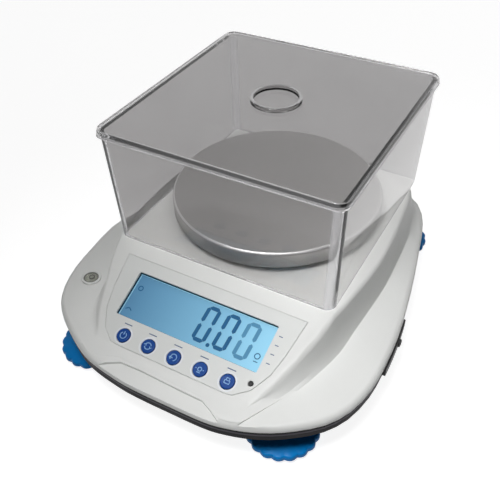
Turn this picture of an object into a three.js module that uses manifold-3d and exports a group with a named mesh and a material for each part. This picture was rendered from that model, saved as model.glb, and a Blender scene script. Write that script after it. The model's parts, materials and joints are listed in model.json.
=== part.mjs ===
// Top-loading laboratory balance with a clear lift-off draft shield, in millimetres, +Z up.
// The origin is on the table, under the middle of the body. +X is the user's right, +Y the back.
import * as THREE from "three";
import { mergeVertices } from "three/addons/utils/BufferGeometryUtils.js";
import Module from "manifold-3d";

const wasm = await Module();
wasm.setup();

// Fits shared by all pieces
const seatGap = 0.3;
const mergeReach = 1e-4;
const slideGap = 0.4;
const overrun = 1;

// Facet counts
const stepsPerKnot = 2;
const roundSteps = 32;
const smallSteps = 16;
const cornerSteps = 4;

// Body: the heights are above the one before, from the feet upwards
const bodyWidth = 207;
const bodyDepth = 235;
const bodyRise = 27.7;
const rimEdge = 1.4;
const rimRound = 3.2;
const flangeRiseFront = 4.2;
const flangeRiseRear = 6.4;
const flangeRampAhead = 5;
const flangeRampBehind = 15;
const apronRise = 0.4;
const shellWall = 2.4;
const topRound = 2.6;

// The console's upper edge and the length of its slope, as shares of the depth
const consoleStartShare = -0.17872;
const consoleRunShare = 0.245745;

// Half outlines of the body, from the middle of the front to the middle of the rear.
// Each row is one knot: the rim, the foot of the raised block and the block's top edge.
// Every pair is a share of the half width and a share of the depth.
const outlineShares = [
  [0, -0.5, 0, -0.455, 0, -0.451],
  [0.145, -0.499, 0.145, -0.455, 0.145, -0.451],
  [0.27, -0.498, 0.265, -0.456, 0.255, -0.452],
  [0.367, -0.495, 0.338, -0.472, 0.319, -0.466],
  [0.444, -0.488, 0.413, -0.482, 0.39, -0.477],
  [0.541, -0.475, 0.502, -0.471, 0.449, -0.468],
  [0.655, -0.452, 0.556, -0.445, 0.483, -0.447],
  [0.76, -0.421, 0.614, -0.396, 0.512, -0.42],
  [0.87, -0.378, 0.671, -0.338, 0.585, -0.366],
  [0.947, -0.323, 0.725, -0.264, 0.638, -0.298],
  [0.992, -0.245, 0.763, -0.191, 0.686, -0.234],
  [1, -0.17, 0.778, -0.121, 0.709, consoleStartShare],
  [0.99, -0.064, 0.792, -0.034, 0.742, -0.077],
  [0.961, 0.034, 0.802, 0.051, 0.766, 0.034],
  [0.918, 0.147, 0.795, 0.145, 0.762, 0.128],
  [0.86, 0.27, 0.778, 0.264, 0.742, 0.234],
  [0.802, 0.377, 0.744, 0.362, 0.715, 0.332],
  [0.715, 0.453, 0.676, 0.432, 0.662, 0.4],
  [0.58, 0.489, 0.541, 0.464, 0.522, 0.434],
  [0.29, 0.5, 0.271, 0.472, 0.266, 0.445],
  [0, 0.5, 0, 0.472, 0, 0.445],
];
// The left side's front corner is rounder: for the knots from the third on,
// the share of the right side's reach and the step back as a share of the depth.
const leftShares = [
  [1, 0.005], [1, 0.009], [1, 0.011], [0.988, 0.015], [0.97, 0.017], [0.966, 0.013],
  [0.956, 0.008], [0.95, -0.001], [0.963, -0.004], [0.98, 0], [1.01, 0],
];
const leftStart = 2;
const apronKnot = 7;
const consoleKnot = 11;
const wallRingShares = [[0.34, 0.2], [0.7, 0.6]];

// Base tray
const trayInset = 0.8;
const trayEdge = 7;
const trayDepth = 9.7;
const trayFloorInset = 7;
const trayWall = 2.2;

// Draft shield
const shieldFrontMargin = 0.6;
const shieldHeight = 71.6;
const shieldWall = 2.5;
const shieldDraft = 2.1;
const shieldCorner = 4;
const innerCornerShare = 0.25;
const plinthHeight = 0.8;
const lidThickness = 3.2;
const lidSkirt = 1.2;
const lidFoot = 1.9;
const lidCrown = 0.6;
const lidRound = 0.8;
const gripRingRadius = 15;
const gripRingWall = 1.8;
const gripRingHeight = 2.5;
const gripRecess = 0.4;

// Pan and the parts that carry it
const panOffset = 1;
const panRadius = 65;
const panClearance = 3.4;
const panLift = 15.3;
const panSkirt = 10.4;
const panSheet = 1;
const panEdgeRound = 1.6;
const panBevelShare = 0.3;
const carrierInset = 15;
const carrierArmWidth = 9;
const carrierArmThickness = 3;
const carrierHubRadius = 11;
const padRadius = 4;
const padHeight = 2;
const postRadius = 5;
const postFlangeRadius = 8.5;
const postFlangeThickness = 3;
const postHoleClearance = 2.5;
const postCollarGap = 3.3;
const collarWall = 2;
const collarHeight = 3;
const collarFlangeThickness = 1.6;

// Load cell
const cellWidth = 15;
const cellLength = 70;
const cellFreeEnd = 8;
const cellWindowShare = 0.275;
const cellSlotShare = 1 / 3;
const cellWindowSpacing = 15;
const mountBlockHeight = 4;
const mountBlockLength = 20;
const mountBlockMargin = 2.5;
const cellBoltRadius = 2;
const cellBoltHead = 3.6;
const cellBoltHeadHeight = 2.4;
const cellBoltGrip = 7;
const cellBoltSpacing = 10;
const stopGap = 0.6;

// Console: the sloping front with the display and the keys
const consoleCentre = 1.5;
const overlayThickness = 0.4;
const overlayPocket = 0.6;
const overlayTop = 9;
const overlayFrontMargin = 0.7;
const overlayHalfShare = 0.57391;
const overlaySideShares = [[0.95, 0.42], [0.9, 0.66], [0.8, 0.87], [0.66, 0.99]];
const overlayFrontShare = 0.594;
const displaySideMargin = 13.4;
const displayTopMargin = 7.85;
const displayKeyGap = 10.25;
const displayRecess = 3.6;
const displayCorner = 0.6;
const lensThickness = 0.8;
const lensMargin = 2.5;
const lcdThickness = 4.2;
const lcdMargin = 4;
const boardThickness = 1.6;
const boardMargin = 6;
const keyRadius = 4.1;
const keyMargin = 6.1;
const keyProud = 0.6;
const keyDome = 0.35;
const keyHoleGap = 0.35;
const keyTravel = 0.5;
const keyFlange = 1;
const keyFlangeThickness = 1;
const keyStemRadius = 2;
const switchSide = 4.6;
const switchHeight = 1.8;
const indicatorAcrossShare = 0.77441;
const indicatorKeyGap = 12;
const indicatorLift = 4;
const indicatorRadius = 1.3;
const indicatorFlange = 0.8;

// Bubble level
const levelAcrossShare = -0.78744;
const levelAlongShare = -0.26809;
const levelRadius = 6.2;
const levelCupRadius = 5.4;
const levelCupDepth = 7.5;
const levelCupWall = 0.8;
const levelLip = 0.9;
const levelBevelShares = [0.4, 0.6];
const levelPocketRadius = 7.6;

// Levelling feet
const footSideInset = 39;
const footFrontInset = 31.6;
const footRearInset = 22;
const wheelRadius = 21;
const wheelLobes = 18;
const wheelLobeDepth = 1;
const wheelPointsPerLobe = 3;
const wheelThickness = 4;
const wheelHubRadius = 9;
const wheelHubHeight = 7;
const wheelTrayGap = 4.1;
const footPadRadius = 12;
const footPadHeight = 2.2;
const studRadius = 4;
const studReach = 5.8;
const insertRadius = 6;
const insertHeight = 8;
const footBossWall = 2.4;
const footBossDrop = 3.4;

// Case screws
const screwSideInset = 15.5;
const screwFrontOffset = 6;
const screwRearSideInset = 35.5;
const screwRearInset = 57.5;
const screwHeadRadius = 3.2;
const screwHeadHeight = 2;
const screwShankRadius = 1.5;
const screwLength = 9;
const screwBossWall = 2.4;

// Sockets and electronics
const inletSetback = 22;
const inletLength = 40;
const inletHeight = 6.2;
const inletDepth = 9;
const inletProud = 1.4;
const jackRadius = 2.4;
const jackBore = 1.2;
const jackProud = 0.8;
const jackOffset = 4;
const portWidth = 31;
const portHeight = 12.4;
const portDepth = 11;
const portInsert = 17;
const portInsertHeight = 8.4;
const portProud = 4.6;
const portFootGap = 13;
const portDrop = 12.7;
const portStandDepth = 7;
const mainBoardDepth = 78;
const mainBoardLift = 5;
const boardCellGap = 9.5;
const boardScrewGap = 3;
const boardPortGap = 15.75;
const standoffRadius = 3;
const standoffInset = 4;
const chipHeight = 2.4;
const moduleHeight = 9;

// Parts on the main board: sizes and places as shares of its width and depth
const chipShare = 0.25;
const chipPlaceShare = -0.125;
const moduleShares = [1 / 3, 0.2];
const modulePlaceShares = [0.2, 0.25];
const canRadiusShare = 1 / 12;
const canPlaceShares = [-0.25, 0.25];

// Colours, roughness and metalness
const shellWhite = { color: 0xe3e4e0, roughness: 0.45, metalness: 0 };
const baseCharcoal = { color: 0x3c3b3d, roughness: 0.55, metalness: 0 };
const clearSmoke = { color: 0xb9bdbd, roughness: 0.08, metalness: 0, transparent: true, opacity: 0.35 };
const steelBrushed = { color: 0x9a9a98, roughness: 0.35, metalness: 0.9 };
const aluminiumPlain = { color: 0xb4b6b8, roughness: 0.45, metalness: 0.85 };
const brassPlain = { color: 0xb08d4a, roughness: 0.4, metalness: 0.9 };
const zincPlain = { color: 0x8c8e90, roughness: 0.4, metalness: 0.9 };
const footBlue = { color: 0x0b6fae, roughness: 0.4, metalness: 0 };
const keyBlue = { color: 0x1b3f96, roughness: 0.4, metalness: 0 };
const overlayPale = { color: 0xdfe1de, roughness: 0.4, metalness: 0 };
const lcdBlue = { color: 0x8fc4e4, roughness: 0.3, metalness: 0 };
const boardGreen = { color: 0x1f5b36, roughness: 0.6, metalness: 0 };
const rubberBlack = { color: 0x1d1d1f, roughness: 0.85, metalness: 0 };
const plasticBlack = { color: 0x18181a, roughness: 0.5, metalness: 0 };
const levelClear = { color: 0xc9d6a8, roughness: 0.1, metalness: 0, transparent: true, opacity: 0.6 };

// Heights, from the table upwards
const wheelBottom = footPadHeight + seatGap;
const hubTop = wheelBottom + wheelHubHeight;
const trayBottom = hubTop + wheelTrayGap + footBossDrop;
const floorTop = trayBottom + trayWall;
const trayTop = trayBottom + trayDepth;
const rimBottom = trayTop + seatGap;
const flangeFront = rimBottom + flangeRiseFront;
const flangeRear = rimBottom + flangeRiseRear;
const apronTop = flangeFront + apronRise;
const platformTop = rimBottom + bodyRise;
const plinthTop = platformTop + plinthHeight;
const shieldBottom = platformTop + seatGap;
const shieldTop = shieldBottom + shieldHeight;
const panTop = platformTop + panLift;
const panUnder = panTop - panSheet;
const padTop = panUnder - seatGap;
const armTop = padTop - padHeight - seatGap;
const armBottom = armTop - carrierArmThickness;
const collarFlangeTop = platformTop - shellWall - seatGap;
const postFoot = collarFlangeTop - collarFlangeThickness - postCollarGap - postFlangeThickness;
const cellTop = postFoot - seatGap;
const cellBottom = floorTop + 2 * seatGap + mountBlockHeight;
const cellHeight = cellTop - cellBottom;
const portZ = platformTop - portDrop;

// Widths and depths
const halfWidth = bodyWidth / 2;
const halfDepth = bodyDepth / 2;
const consoleStart = consoleStartShare * bodyDepth;
const shieldWidth = 2 * (panRadius + panClearance + shieldWall + shieldDraft);
const shieldDepth = shieldWidth;
const shieldCentre = consoleStart + shieldFrontMargin + shieldDepth / 2 - shieldDraft;
const panCentre = shieldCentre + panOffset;
const carrierArm = panRadius - carrierInset;
const plinthHalfX = shieldWidth / 2 - shieldDraft - shieldWall - slideGap;
const plinthHalfY = shieldDepth / 2 - shieldDraft - shieldWall - slideGap;
const postHoleRadius = postRadius + postHoleClearance;
const cellFront = panCentre + cellFreeEnd - cellLength;
const levelX = levelAcrossShare * halfWidth;
const levelY = levelAlongShare * bodyDepth;
const inletY = consoleStart + inletSetback;
const footX = halfWidth - footSideInset;
const footFrontY = footFrontInset - halfDepth;
const footRearY = halfDepth - footRearInset;
const screwFrontX = halfWidth - screwSideInset;
const screwRearX = halfWidth - screwRearSideInset;
const screwFrontY = consoleStart - screwFrontOffset;
const screwRearY = halfDepth - screwRearInset;
const screwBossRadius = screwHeadRadius + slideGap + screwBossWall;
const boardInner = cellWidth / 2 + boardCellGap;
const mainBoardWidth = screwRearX - screwBossRadius - boardScrewGap - boardInner;
const mainBoardX = -(boardInner + mainBoardWidth / 2);
const mainBoardY = portFace() - portDepth - boardPortGap - mainBoardDepth / 2;
const portX = portWidth / 2 + portFootGap + insertRadius - footX;
const footPlaces = [
  [-footX, footFrontY],
  [footX, footFrontY],
  [-footX, footRearY],
  [footX, footRearY],
];
const screwPlaces = [
  [-screwFrontX, screwFrontY],
  [screwFrontX, screwFrontY],
  [-screwRearX, screwRearY],
  [screwRearX, screwRearY],
];

// The console's slope, and the rows on it as distances down from its upper edge
const keyNames = ["power", "unit", "tare", "zero", "print"];
const consoleRun = consoleRunShare * bodyDepth;
const consoleSlope = (platformTop - apronTop) / consoleRun;
const consoleAngle = Math.atan(consoleSlope);
const consoleWall = shellWall * Math.cos(consoleAngle);
const throughConsole = 2 * shellWall;
const overlayBottom = consoleRun / Math.cos(consoleAngle) - overlayFrontMargin;
const overlayHalf = overlayHalfShare * halfWidth;
const keyRow = overlayBottom - keyMargin;
const displayTop = overlayTop + displayTopMargin;
const displayHeight = keyRow - displayKeyGap - displayTop;
const displayMiddle = displayTop + displayHeight / 2;
const displayWidth = 2 * (overlayHalf - displaySideMargin);
const indicatorOffset = indicatorAcrossShare * overlayHalf;
const indicatorRow = keyRow - indicatorLift;
const keyPitch = 2 * (indicatorOffset - indicatorKeyGap) / (keyNames.length - 1);
const keyPlaces = keyNames.map((_, n) => [(n - (keyNames.length - 1) / 2) * keyPitch, -keyRow]);

const balance = new THREE.Group();
const consoleFrame = new THREE.Group();
consoleFrame.position.set(consoleCentre, consoleStart, platformTop);
consoleFrame.rotation.x = consoleAngle;
balance.add(consoleFrame);

// Makes a closed geometry from any geometry: shared vertices merged, faces pointing out.
function closed(geometry) {
  const bare = geometry.clone();
  bare.deleteAttribute("normal");
  bare.deleteAttribute("uv");
  const merged = mergeVertices(bare, mergeReach);
  const place = merged.attributes.position;
  const corners = [new THREE.Vector3(), new THREE.Vector3(), new THREE.Vector3()];
  const kept = [];
  let volume = 0;
  for (let i = 0; i < merged.index.count; i += 3) {
    const ids = [merged.index.getX(i), merged.index.getX(i + 1), merged.index.getX(i + 2)];
    if (ids[0] === ids[1] || ids[1] === ids[2] || ids[2] === ids[0]) continue;
    corners.forEach((corner, n) => corner.fromBufferAttribute(place, ids[n]));
    volume += corners[0].dot(corners[1].clone().cross(corners[2]));
    kept.push(ids);
  }
  merged.setIndex(kept.flatMap(([a, b, c]) => (volume < 0 ? [a, c, b] : [a, b, c])));
  return merged;
}

function solid(geometry) {
  const shape = closed(geometry);
  return new wasm.Manifold(new wasm.Mesh({
    numProp: 3,
    vertProperties: new Float32Array(shape.attributes.position.array),
    triVerts: new Uint32Array(shape.index.array),
  }));
}

function geometryOf(manifold) {
  const mesh = manifold.getMesh();
  const geometry = new THREE.BufferGeometry();
  geometry.setAttribute("position", new THREE.BufferAttribute(new Float32Array(mesh.vertProperties), 3));
  geometry.setIndex(new THREE.BufferAttribute(new Uint32Array(mesh.triVerts), 1));
  return geometry;
}

function joined(shapes) {
  return shapes.reduce((all, shape) => all.add(shape));
}

function cutBy(shape, cutters) {
  return cutters.reduce((rest, cutter) => rest.subtract(cutter), shape);
}

function place(name, shape, look, group = balance) {
  const geometry = shape.isBufferGeometry ? closed(shape) : geometryOf(shape);
  const flat = geometry.toNonIndexed();
  flat.computeVertexNormals();
  const mesh = new THREE.Mesh(flat, new THREE.MeshStandardMaterial(look));
  mesh.name = name;
  group.add(mesh);
  return mesh;
}

// Upright cylinder standing on z = bottom
function rod(radius, bottom, top, x = 0, y = 0, steps = smallSteps) {
  return new THREE.CylinderGeometry(radius, radius, top - bottom, steps)
    .rotateX(Math.PI / 2)
    .translate(x, y, (top + bottom) / 2);
}

function block(sizeX, sizeY, bottom, top, x = 0, y = 0) {
  return new THREE.BoxGeometry(sizeX, sizeY, top - bottom).translate(x, y, (top + bottom) / 2);
}

// Turned piece: the profile lists radius and height pairs
function turned(profile, steps = smallSteps) {
  const points = profile.map(([radius, height]) => new THREE.Vector2(radius, height));
  return new THREE.LatheGeometry(points, steps).rotateX(Math.PI / 2);
}

function plate(points, bottom, top, holes = []) {
  const shape = new THREE.Shape(points.map(([x, y]) => new THREE.Vector2(x, y)));
  shape.holes = holes.map((ring) => new THREE.Path(ring.map(([x, y]) => new THREE.Vector2(x, y))));
  return new THREE.ExtrudeGeometry(shape, { depth: top - bottom, bevelEnabled: false })
    .translate(0, 0, bottom);
}

function roundedRectangle(halfX, halfY, radius, x = 0, y = 0, steps = cornerSteps) {
  const corners = [[1, 1, 0], [-1, 1, 1], [-1, -1, 2], [1, -1, 3]];
  return corners.flatMap(([sideX, sideY, quarter]) =>
    Array.from({ length: steps + 1 }, (_, i) => {
      const angle = (quarter + i / steps) * Math.PI / 2;
      return [
        x + sideX * (halfX - radius) + radius * Math.cos(angle),
        y + sideY * (halfY - radius) + radius * Math.sin(angle),
      ];
    }));
}

function circle(radius, x = 0, y = 0, steps = smallSteps) {
  return Array.from({ length: steps }, (_, i) => {
    const angle = i / steps * 2 * Math.PI;
    return [x + radius * Math.cos(angle), y + radius * Math.sin(angle)];
  });
}

// Triangles that fill a flat ring of points, given by their ids
function filled(ids, points) {
  const ring = ids.map((id) => new THREE.Vector2(points[id].x, points[id].y));
  return THREE.ShapeUtils.triangulateShape(ring, []).map((face) => face.map((n) => ids[n]));
}

// Skin through stacked rings of equal length, with the first ring closed below
// and the last closed above by the given groups of its points
function lofted(rings, topGroups) {
  const count = rings[0].length;
  const points = rings.flat();
  const faces = filled(rings[0].map((_, i) => i), points).map(([a, b, c]) => [a, c, b]);
  for (let ring = 0; ring + 1 < rings.length; ring++) {
    for (let i = 0; i < count; i++) {
      const a = ring * count + i;
      const b = ring * count + (i + 1) % count;
      faces.push([a, b, b + count], [a, b + count, a + count]);
    }
  }
  const last = (rings.length - 1) * count;
  topGroups.forEach((group) => faces.push(...filled(group.map((i) => last + i), points)));
  const geometry = new THREE.BufferGeometry();
  const numbers = points.flatMap((p) => [p.x, p.y, p.z]);
  geometry.setAttribute("position", new THREE.Float32BufferAttribute(numbers, 3));
  geometry.setIndex(faces.flat());
  return geometry;
}

// A pair of columns of the knots as a closed loop of points, counter-clockwise from above
function loopOf(column) {
  const knots = outlineShares.map((row) =>
    new THREE.Vector3(row[column] * halfWidth, row[column + 1] * bodyDepth, 0));
  const curve = new THREE.CatmullRomCurve3(knots, false, "centripetal");
  const steps = (knots.length - 1) * stepsPerKnot;
  const along = (line) => Array.from({ length: steps + 1 }, (_, i) => line.getPoint(i / steps));
  const right = along(curve);
  const leftKnots = knots.map((knot, n) => {
    const [reach, back] = leftShares[n - leftStart] ?? [1, 0];
    return new THREE.Vector3(-knot.x * reach, knot.y + back * bodyDepth, 0);
  });
  const left = along(new THREE.CatmullRomCurve3(leftKnots, false, "centripetal"));
  right[0].x = 0;
  right[steps].x = 0;
  return [...right, ...left.slice(1, steps).reverse()];
}

function inset(loop, distance) {
  return loop.map((p, i) => {
    const ahead = loop[(i + 1) % loop.length];
    const behind = loop[(i + loop.length - 1) % loop.length];
    const along = ahead.clone().sub(behind).setZ(0).normalize();
    return new THREE.Vector3(p.x - along.y * distance, p.y + along.x * distance, p.z);
  });
}

function atHeight(loop, height) {
  return loop.map((p) => new THREE.Vector3(p.x, p.y, typeof height === "number" ? height : height(p)));
}

function topHeight(y) {
  return Math.min(platformTop, Math.max(apronTop, platformTop - consoleSlope * (consoleStart - y)));
}

function flangeHeight(y) {
  return THREE.MathUtils.mapLinear(
    THREE.MathUtils.smoothstep(y, consoleStart - flangeRampAhead, consoleStart + flangeRampBehind),
    0, 1, flangeFront, flangeRear);
}

const rimLoop = loopOf(0);
const footLoop = loopOf(2);
const topLoop = loopOf(4);

// Outside of the body, or its inside when a wall thickness is given
function bodySkin(wall) {
  const startHeight = wall > 0 ? rimBottom - overrun : rimBottom;
  const rim = inset(rimLoop, wall > 0 ? rimRound + wall / 2 : 0);
  const foot = inset(footLoop, wall);
  const top = inset(topLoop, wall);
  const footRing = atHeight(foot, (p) => flangeHeight(p.y) - wall);
  const edgeDrop = (p) => Math.min(topRound, (topHeight(p.y) - flangeHeight(p.y)) / 2);
  const shoulder = top.map((p) => new THREE.Vector3(p.x, p.y, topHeight(p.y) - edgeDrop(p) - wall));
  const walls = wallRingShares.map(([across, up]) => footRing.map((p, i) =>
    new THREE.Vector3().lerpVectors(p, shoulder[i], across).setZ(
      THREE.MathUtils.lerp(p.z, shoulder[i].z, up))));
  const drops = top.map(edgeDrop);
  const soft = inset(top, topRound * (1 - Math.SQRT1_2)).map((p, i) =>
    new THREE.Vector3(p.x, p.y, topHeight(p.y) - drops[i] * (1 - Math.SQRT1_2) - wall));
  const crown = atHeight(inset(top, topRound), (p) => topHeight(p.y) - wall);
  const rings = [atHeight(rim, startHeight)];
  if (wall > 0) {
    rings.push(atHeight(inset(rim, overrun), rimBottom + rimEdge + rimRound - wall));
  } else {
    const rounded = (share, lift) => atHeight(inset(rimLoop, rimRound * share), rimBottom + rimEdge + lift);
    const flangeRise = flangeFront - rimBottom - rimEdge;
    rings.push(rounded(0, 0), rounded(1 - Math.SQRT1_2, flangeRise * Math.SQRT1_2), rounded(1, flangeRise));
  }
  rings.push(footRing, ...walls, shoulder, soft, crown);
  const half = (rimLoop.length) / 2;
  const mirrorId = (i) => (i === 0 ? 0 : rimLoop.length - i);
  const between = (from, to) => {
    const right = Array.from({ length: to - from + 1 }, (_, i) => from + i);
    const left = right.map(mirrorId).reverse();
    return [...right, ...left].filter((id, n, all) => all.indexOf(id) === n);
  };
  return lofted(rings, [
    between(0, apronKnot * stepsPerKnot),
    between(apronKnot * stepsPerKnot, consoleKnot * stepsPerKnot),
    between(consoleKnot * stepsPerKnot, half),
  ]);
}

function inConsole(geometry) {
  consoleFrame.updateMatrix();
  return geometry.clone().applyMatrix4(consoleFrame.matrix);
}

function overlayOutline(margin = 0) {
  const reach = overlayHalf + margin;
  const low = -(overlayBottom + margin);
  const high = -(overlayTop - margin);
  const side = overlaySideShares.map(([x, y]) => [x * reach, THREE.MathUtils.lerp(high, low, y)]);
  const right = [[reach, high], ...side, [overlayFrontShare * reach, low]];
  const left = right.map(([x, y]) => [-x, y]).reverse();
  return [...right, ...left];
}

// Shell of the body, with its bosses and openings
function upperShell() {
  const outside = solid(bodySkin(0));
  const inside = solid(bodySkin(shellWall));
  const plinth = solid(plate(
    roundedRectangle(plinthHalfX, plinthHalfY, shieldCorner, 0, shieldCentre),
    platformTop - shellWall / 2, plinthTop));
  const bossBottom = screwFloor() + seatGap;
  const bosses = screwPlaces.map(([x, y]) => solid(rod(screwShankRadius + seatGap + screwBossWall,
    bossBottom, (y > 0 ? platformTop : flangeHeight(y)) - shellWall / 2, x, y)));
  const hollow = cutBy(outside, [inside]);
  const pocketFloor = -overlayPocket;
  const cutters = [
    inConsole(plate(overlayOutline(seatGap), pocketFloor, overrun)),
    inConsole(block(displayWidth, displayHeight, -throughConsole, overrun, 0, -displayMiddle)),
    ...keyPlaces.map(([x, y]) => inConsole(rod(keyRadius + keyHoleGap, -throughConsole, overrun, x, y))),
    inConsole(rod(indicatorRadius + seatGap, -throughConsole, overrun, indicatorOffset, -indicatorRow)),
    rod(postHoleRadius, platformTop - 2 * shellWall, plinthTop + overrun, 0, panCentre),
    rod(levelPocketRadius, levelSeat(), platformTop, levelX, levelY),
    rod(levelCupRadius + slideGap, rimBottom - overrun, platformTop, levelX, levelY),
    ...screwPlaces.map(([x, y]) =>
      rod(screwShankRadius + seatGap, bossBottom - overrun, bossBottom + screwLength, x, y)),
    block(portWidth + 2 * seatGap, portDepth * 2, portZ - portHeight / 2 - seatGap,
      portZ + portHeight / 2 + seatGap, portX, portFace()),
  ];
  return cutBy(joined([hollow, plinth, ...bosses]), cutters.map(solid));
}

// The rear port's outer face, half way up the sloping rear wall
function portFace() {
  const rear = outlineShares.at(-1);
  return bodyDepth * (rear[3] + rear[5]) / 2;
}

// Flat seat of the bubble level on the left flange
function levelSeat() {
  return flangeHeight(levelY);
}

// Height of the tray where a case screw clamps it
function screwFloor() {
  return trayBottom + screwHeadHeight + seatGap + trayWall;
}

function baseTray() {
  const low = trayTop - trayEdge;
  const outsideRings = [
    atHeight(inset(rimLoop, trayFloorInset), trayBottom),
    atHeight(inset(rimLoop, trayInset), low),
    atHeight(inset(rimLoop, trayInset), trayTop),
  ];
  const insideRings = [
    atHeight(inset(rimLoop, trayFloorInset + trayWall), floorTop),
    atHeight(inset(rimLoop, trayInset + trayWall), low + trayWall / 2),
    atHeight(inset(rimLoop, trayInset + trayWall), trayTop + overrun),
  ];
  const all = [rimLoop.map((_, i) => i)];
  const hollow = cutBy(solid(lofted(outsideRings, all)), [solid(lofted(insideRings, all))]);
  const footBosses = footPlaces.map(([x, y]) => solid(rod(
    insertRadius + footBossWall, trayBottom - footBossDrop, floorTop + insertHeight - seatGap, x, y)));
  const screwBosses = screwPlaces.map(([x, y]) =>
    solid(rod(screwBossRadius, trayBottom, screwFloor(), x, y)));
  const standoffs = boardStandoffs().map(([x, y]) => solid(rod(
    standoffRadius, floorTop - trayWall / 2, floorTop + mainBoardLift - seatGap, x, y)));
  const cutters = [
    ...footPlaces.flatMap(([x, y]) => [
      rod(insertRadius + seatGap, floorTop, floorTop + insertHeight + overrun, x, y),
      rod(studRadius + slideGap, trayBottom - footBossDrop - overrun, floorTop + overrun, x, y),
    ]),
    ...screwPlaces.flatMap(([x, y]) => [
      rod(screwHeadRadius + slideGap, trayBottom - overrun, trayBottom + screwHeadHeight + seatGap, x, y),
      rod(screwShankRadius + seatGap, trayBottom, screwFloor() + overrun, x, y),
    ]),
    ...cellBoltPlaces().map(([x, y]) =>
      rod(cellBoltRadius + seatGap, trayBottom - overrun, floorTop + overrun, x, y)),
    alongSide(block(inletDepth * 2, inletLength + 2 * seatGap,
      inletBottom() - seatGap, trayTop + overrun)),
  ];
  return cutBy(joined([hollow, ...footBosses, ...screwBosses, ...standoffs]), cutters.map(solid));
}

// Half width of the rim at a given place along the depth
function sideAt(y) {
  const right = rimLoop.slice(0, rimLoop.length / 2 + 1);
  const next = right.findIndex((p) => p.y > y);
  const share = (y - right[next - 1].y) / (right[next].y - right[next - 1].y);
  return THREE.MathUtils.lerp(right[next - 1].x, right[next].x, share);
}

// Places a shape made round the origin at the inlet, turned to follow the rim there
function alongSide(geometry) {
  const ahead = sideAt(inletY + inletLength / 2);
  const behind = sideAt(inletY - inletLength / 2);
  return geometry.rotateZ(Math.atan2(behind - ahead, inletLength))
    .translate((ahead + behind) / 2 - trayInset, inletY, 0);
}

function inletBottom() {
  return trayTop - inletHeight;
}

function boardStandoffs() {
  const reachX = mainBoardWidth / 2 - standoffInset;
  const reachY = mainBoardDepth / 2 - standoffInset;
  return [[-1, -1], [1, -1], [1, 1], [-1, 1]].map(([sideX, sideY]) =>
    [mainBoardX + sideX * reachX, mainBoardY + sideY * reachY]);
}

function cellBoltPlaces() {
  const middle = cellFront + mountBlockLength / 2;
  return [-1, 1].map((side) => [0, middle + side * cellBoltSpacing / 2]);
}

function addConsole() {
  const holes = [
    roundedRectangle(displayWidth / 2, displayHeight / 2, displayCorner, 0, -displayMiddle, 1),
    ...keyPlaces.map(([x, y]) => circle(keyRadius + keyHoleGap, x, y)),
    circle(indicatorRadius + seatGap, indicatorOffset, -indicatorRow),
  ];
  const overlayBase = seatGap - overlayPocket;
  place("keypad_overlay", plate(overlayOutline(), overlayBase, overlayBase + overlayThickness, holes),
    overlayPale, consoleFrame);

  const lensTop = -consoleWall - seatGap;
  const lensBottom = lensTop - lensThickness;
  place("display_lens", block(displayWidth + 2 * lensMargin, displayHeight + 2 * lensMargin,
    lensBottom, lensTop, 0, -displayMiddle), clearSmoke, consoleFrame);
  const lcdTop = Math.min(-displayRecess, lensBottom - seatGap);
  const lcdBottom = lcdTop - lcdThickness;
  place("lcd_module", block(displayWidth + 2 * lcdMargin, displayHeight + lcdMargin,
    lcdBottom, lcdTop, 0, -displayMiddle), lcdBlue, consoleFrame);

  const boardTop = lcdBottom - seatGap;
  const boardLow = -(keyRow + boardMargin);
  const boardHigh = -(displayMiddle - displayHeight / 2 - lcdMargin);
  const boardMiddle = (boardHigh + boardLow) / 2;
  place("display_board", block(displayWidth + 2 * lcdMargin, boardHigh - boardLow,
    boardTop - boardThickness, boardTop, 0, boardMiddle), boardGreen, consoleFrame);

  const keyTop = overlayBase + overlayThickness + keyProud;
  const flangeTop = -(consoleWall + seatGap);
  const switchTop = boardTop + seatGap + switchHeight;
  const stemEnd = switchTop + keyTravel + seatGap;
  keyPlaces.forEach(([x, y], n) => {
    const cap = turned([
      [0, stemEnd],
      [keyStemRadius, stemEnd],
      [keyStemRadius, flangeTop - keyFlangeThickness],
      [keyRadius + keyFlange, flangeTop - keyFlangeThickness],
      [keyRadius + keyFlange, flangeTop],
      [keyRadius, flangeTop],
      [keyRadius, keyTop - keyDome],
      [keyRadius - keyDome, keyTop],
      [0, keyTop],
    ]);
    place(`${keyNames[n]}_key`, cap, keyBlue, consoleFrame).position.set(x, y, 0);
    place(`key_switch_${n + 1}`, block(switchSide, switchSide, boardTop + seatGap, switchTop),
      plasticBlack, consoleFrame).position.set(x, y, 0);
  });

  const indicatorTop = overlayBase + overlayThickness;
  place("status_indicator", turned([
    [0, boardTop + seatGap],
    [indicatorRadius, boardTop + seatGap],
    [indicatorRadius, flangeTop - keyFlangeThickness],
    [indicatorRadius + indicatorFlange, flangeTop - keyFlangeThickness],
    [indicatorRadius + indicatorFlange, flangeTop],
    [indicatorRadius, flangeTop],
    [indicatorRadius, indicatorTop],
    [0, indicatorTop],
  ]), plasticBlack, consoleFrame).position.set(indicatorOffset, -indicatorRow, 0);
}

function addLevel() {
  const seat = levelSeat() + seatGap;
  const cupBottom = seat - levelCupDepth;
  const bore = levelCupRadius - levelCupWall;
  place("level_bezel", turned([
    [0, cupBottom],
    [levelCupRadius, cupBottom],
    [levelCupRadius, seat],
    [levelRadius, seat],
    [levelRadius, seat + levelLip * levelBevelShares[1]],
    [levelRadius - levelLip * levelBevelShares[0], seat + levelLip],
    [bore, seat + levelLip],
    [bore, cupBottom + levelCupWall],
    [0, cupBottom + levelCupWall],
  ], roundSteps), overlayPale).position.set(levelX, levelY, 0);
  place("level_vial", rod(bore - seatGap, cupBottom + levelCupWall + seatGap, seat + levelLip / 2,
    0, 0, roundSteps), levelClear).position.set(levelX, levelY, 0);
}

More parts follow.
